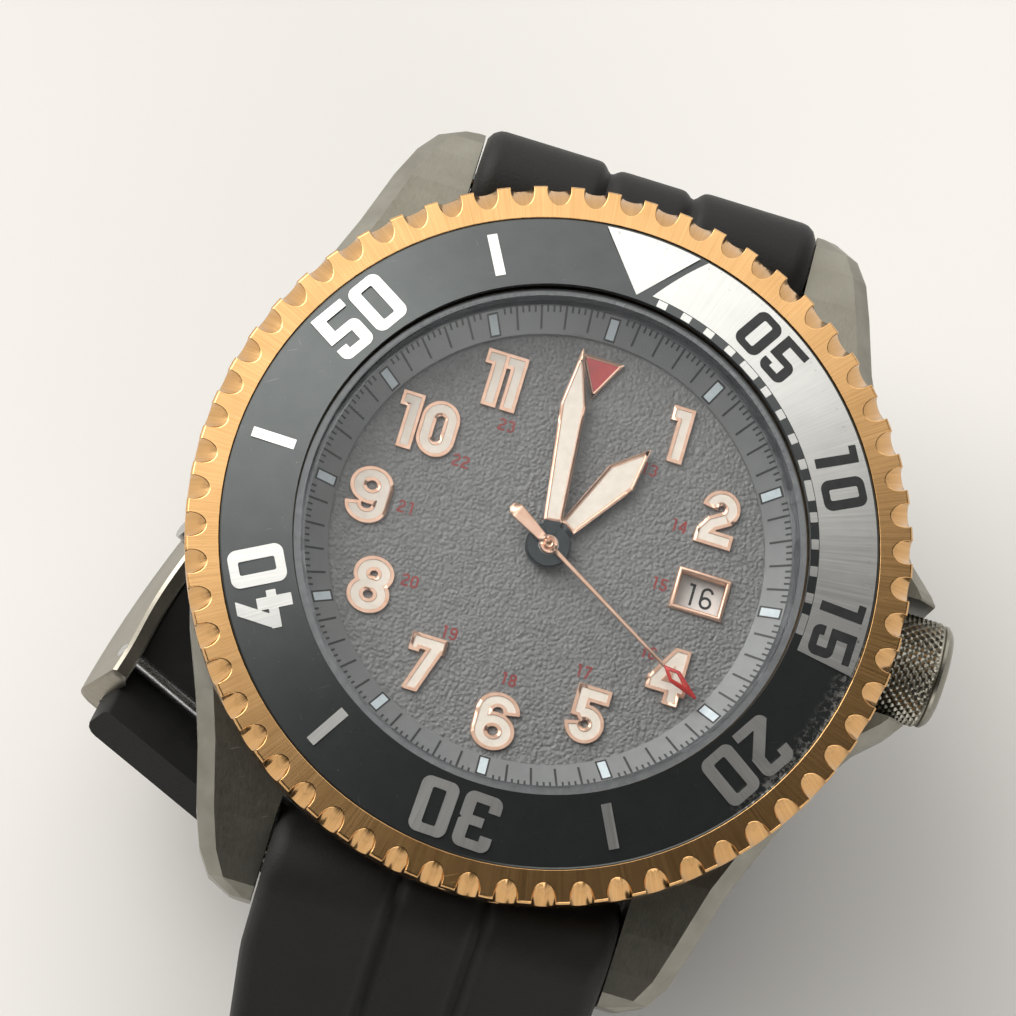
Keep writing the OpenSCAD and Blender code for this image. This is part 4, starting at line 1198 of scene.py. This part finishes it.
def clasp_section(low):
    """Points (u, v) round the clasp shell: rounded outside, plain inside, walls down to low."""
    half, corner = CLASP_HALF, 0.85
    inner = half - CLASP_WALL
    right = []
    for turn in (90, 70, 50, 30, 10):
        c, s = cos_sin(turn)
        right.append((half - corner + corner * c, CLASP_TOP - corner + corner * s))
    right += [(half, low + 0.2), (half - 0.2, low), (inner + 0.2, low), (inner, low + 0.2),
              (inner, CLASP_UNDER)]
    return right + [(-u, v) for u, v in reversed(right)]


def clasp_shell(base, d, w, n):
    """Smooth curved cover of the folding clasp, deeper where the hinge pin passes."""

    def at(turn, v):
        c, s = cos_sin(turn)
        return base - CLASP_R * n + (CLASP_R + v) * (s * d + c * n)

    rings = []
    for turn in [0.0, 0.4, *np.arange(2, 56, 2.0), 56.6, 57.0]:
        near_pin = math.exp(-(((turn - CLASP_PIN_AT) / 9) ** 2))
        shrink = 0.2 if turn in (0.0, 57.0) else 0.0
        rings.append([at(turn, v - math.copysign(shrink, v - 0.3)) + (u - math.copysign(shrink, u)) * w
                      for u, v in clasp_section(CLASP_LOW - CLASP_EAR * near_pin)])
    made = Build(*loft(rings)).piece("clasp_shell", "upper_strap", CLASP_METAL, "case_titanium", 40)
    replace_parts(made, "clasp_cover")
    cut_through(made, [(at(CLASP_BUTTON_AT, 0), w, 0.86, 40),
                       (at(CLASP_PIN_AT, CLASP_PIN_DEPTH), w, 0.52, 40)])


# ------------------------------------------------------------------ crown

def crown():
    """Knurled crown: pyramids round the grip, a polished rim and a plain dished end."""
    low, high = box_of("crown")
    foot, face = low[0], high[0]
    r, axis_z = (high[1] - low[1]) / 2, (low[2] + high[2]) / 2
    around, teeth, lines = 216, 36, 36
    knurl_pitch, knurl_depth = 0.59, 0.238
    grip_start, grip_end = foot + 0.5, face - 0.72
    # (x, radius, how fully the knurl is cut), from the bore at the foot to the middle of the end
    profile = [(foot + 2.4, 0.6, 0), (foot + 2.4, 1.75, 0), (foot + 0.02, 1.75, 0), (foot, r - 0.55, 0),
               (foot + 0.14, r - 0.36, 0), (foot + 0.34, r - 0.26, 0)]
    for k in range(lines + 1):
        fade = min(1.0, k / 2, (lines - k) / 2)
        at = grip_start + (grip_end - grip_start) * k / lines
        profile.append((at, r - 0.01 - 0.16 * (1 - fade), fade))
    profile += [(grip_end + 0.06, r - 0.24, 0), (grip_end + 0.12, r - 0.14, 0),
                (face - 0.42, r - 0.16, 0), (face - 0.2, r - 0.34, 0), (face - 0.06, r - 0.56, 0),
                (face, r - 0.74, 0), (face, r - 0.86, 0), (face - 0.1, r - 0.98, 0),
                (face - 0.16, r - 1.5, 0), (face - 0.12, 0.9, 0), (face - 0.1, 0.02, 0)]

    def wave(t):
        return 2 * abs(t - math.floor(t) - 0.5)

    rings = []
    for x, radius, knurl in profile:
        ring = []
        for k in range(around):
            turn, slant = k / around * teeth, x / knurl_pitch
            cut = radius - knurl_depth * knurl * (1 - min(wave(turn + slant), wave(turn - slant)))
            c, s = cos_sin(360 * k / around)
            ring.append((x, cut * c, axis_z + cut * s))
        rings.append(ring)
    made = Build(*loft(rings)).piece("crown_knurled", "crown_knob", FINISHES["crown_titanium"],
                                     "crown_titanium", 28)
    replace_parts(made, "crown")


# ------------------------------------------------------- stage and camera

def make_stage():
    """Pale floor level with the lowest point of the strap."""
    size, z = 2.5, cad_box[0].z - 0.00002
    mesh = bpy.data.meshes.new("floor")
    mesh.from_pydata([(-size, -size, z), (size, -size, z), (size, size, z), (-size, size, z)], [],
                     [(0, 1, 2, 3)])
    floor = new_object("floor", mesh)
    f = Finish("floor_finish", Roughness=0.8, Specular_IOR_Level=0.2)
    tone = f.noise(f.mm, scale=0.02)
    f.use(Base_Color=f.ramp(tone, 0.3, 0.7, (0.80, 0.785, 0.76), (0.82, 0.805, 0.78)))
    mesh.materials.append(f.material)


def area_light(name, direction, distance, size, power, colour):
    """Soft lamp in the given direction, turned to the middle of the watch."""
    data = bpy.data.lights.new(name, "AREA")
    data.shape = "RECTANGLE"
    data.size, data.size_y = size
    data.energy = power
    data.color = colour
    lamp = new_object(name, data)
    lamp.location = Vector(direction).normalized() * distance
    lamp.rotation_mode = "QUATERNION"
    lamp.rotation_quaternion = (-lamp.location).to_track_quat("-Z", "Y")


def make_lights():
    """A dim dome that glows to the upper left and along the horizon, a soft key lamp and a fill."""
    world = bpy.data.worlds.new("studio")
    bpy.context.scene.world = world
    world.use_nodes = True
    sky = Nodes(world.node_tree)
    facing = sky.add("ShaderNodeTexCoord").outputs["Generated"]
    strength = 0.0
    glows = (((-0.5, 0.75, 0.35), 0.38, 0.58, 1.6), ((0, 0, -1), -0.3, -0.05, 0.9))
    for direction, start, end, glow in glows:
        towards = sky.vector("DOT_PRODUCT", facing, tuple(Vector(direction).normalized()))
        strength = sky.math("MAXIMUM", sky.step(towards, start, end, 0.05, glow), strength)
    sky.set(sky.tree.nodes["Background"], {"Color": (1.0, 0.985, 0.955), "Strength": strength})
    area_light("key", (-0.85, 0.5, 0.75), 0.9, (0.7, 0.7), 6.6, (1, 0.98, 0.95))
    area_light("fill", (0.6, -0.7, 0.45), 0.9, (0.9, 0.4), 2.6, (1, 0.98, 0.96))


CAMERA_AT = (-0.00778191, -0.04729165, 0.23520568)
CAMERA_FORWARD = (0.0206649, 0.2104878, -0.97737805)
CAMERA_UP = (-0.29209644, 0.93620559, 0.19544506)
LENS_MM, SENSOR_MM = 135.17, 36.0


def make_camera():
    data = bpy.data.cameras.new("camera")
    data.lens, data.sensor_width = LENS_MM, SENSOR_MM
    data.clip_start, data.clip_end = 0.01, 10
    camera = new_object("camera", data)
    back = -Vector(CAMERA_FORWARD).normalized()
    right = Vector(CAMERA_UP).cross(back).normalized()
    turn = Matrix((right, back.cross(right), back)).transposed()
    camera.matrix_world = Matrix.Translation(CAMERA_AT) @ turn.to_4x4()
    bpy.context.scene.camera = camera


make_camera()
make_stage()
make_lights()
finish_cad_nodes()
hour_numerals()
twelve_marker()
day_hours()
date_ring()
date_surround()
flange_marks()
lume_hand("hour_hand", "hours", 29.9, [(0.56, 1.6), (1.06, 6.25), (0.04, 8.8)], 0.27, 1.42)
lume_hand("minute_hand", "minutes", -6.3, [(0.58, 1.45), (0.8, 8.94), (0.04, 12.5)], 0.24, 1.3)
second_hand()
bezel_print()
upper_strap()
lower_strap()
crown()
soften("mid_case", 0.16)
soften("bezel_ring", 0.07)
bpy.context.scene.view_settings.view_transform = "Standard"
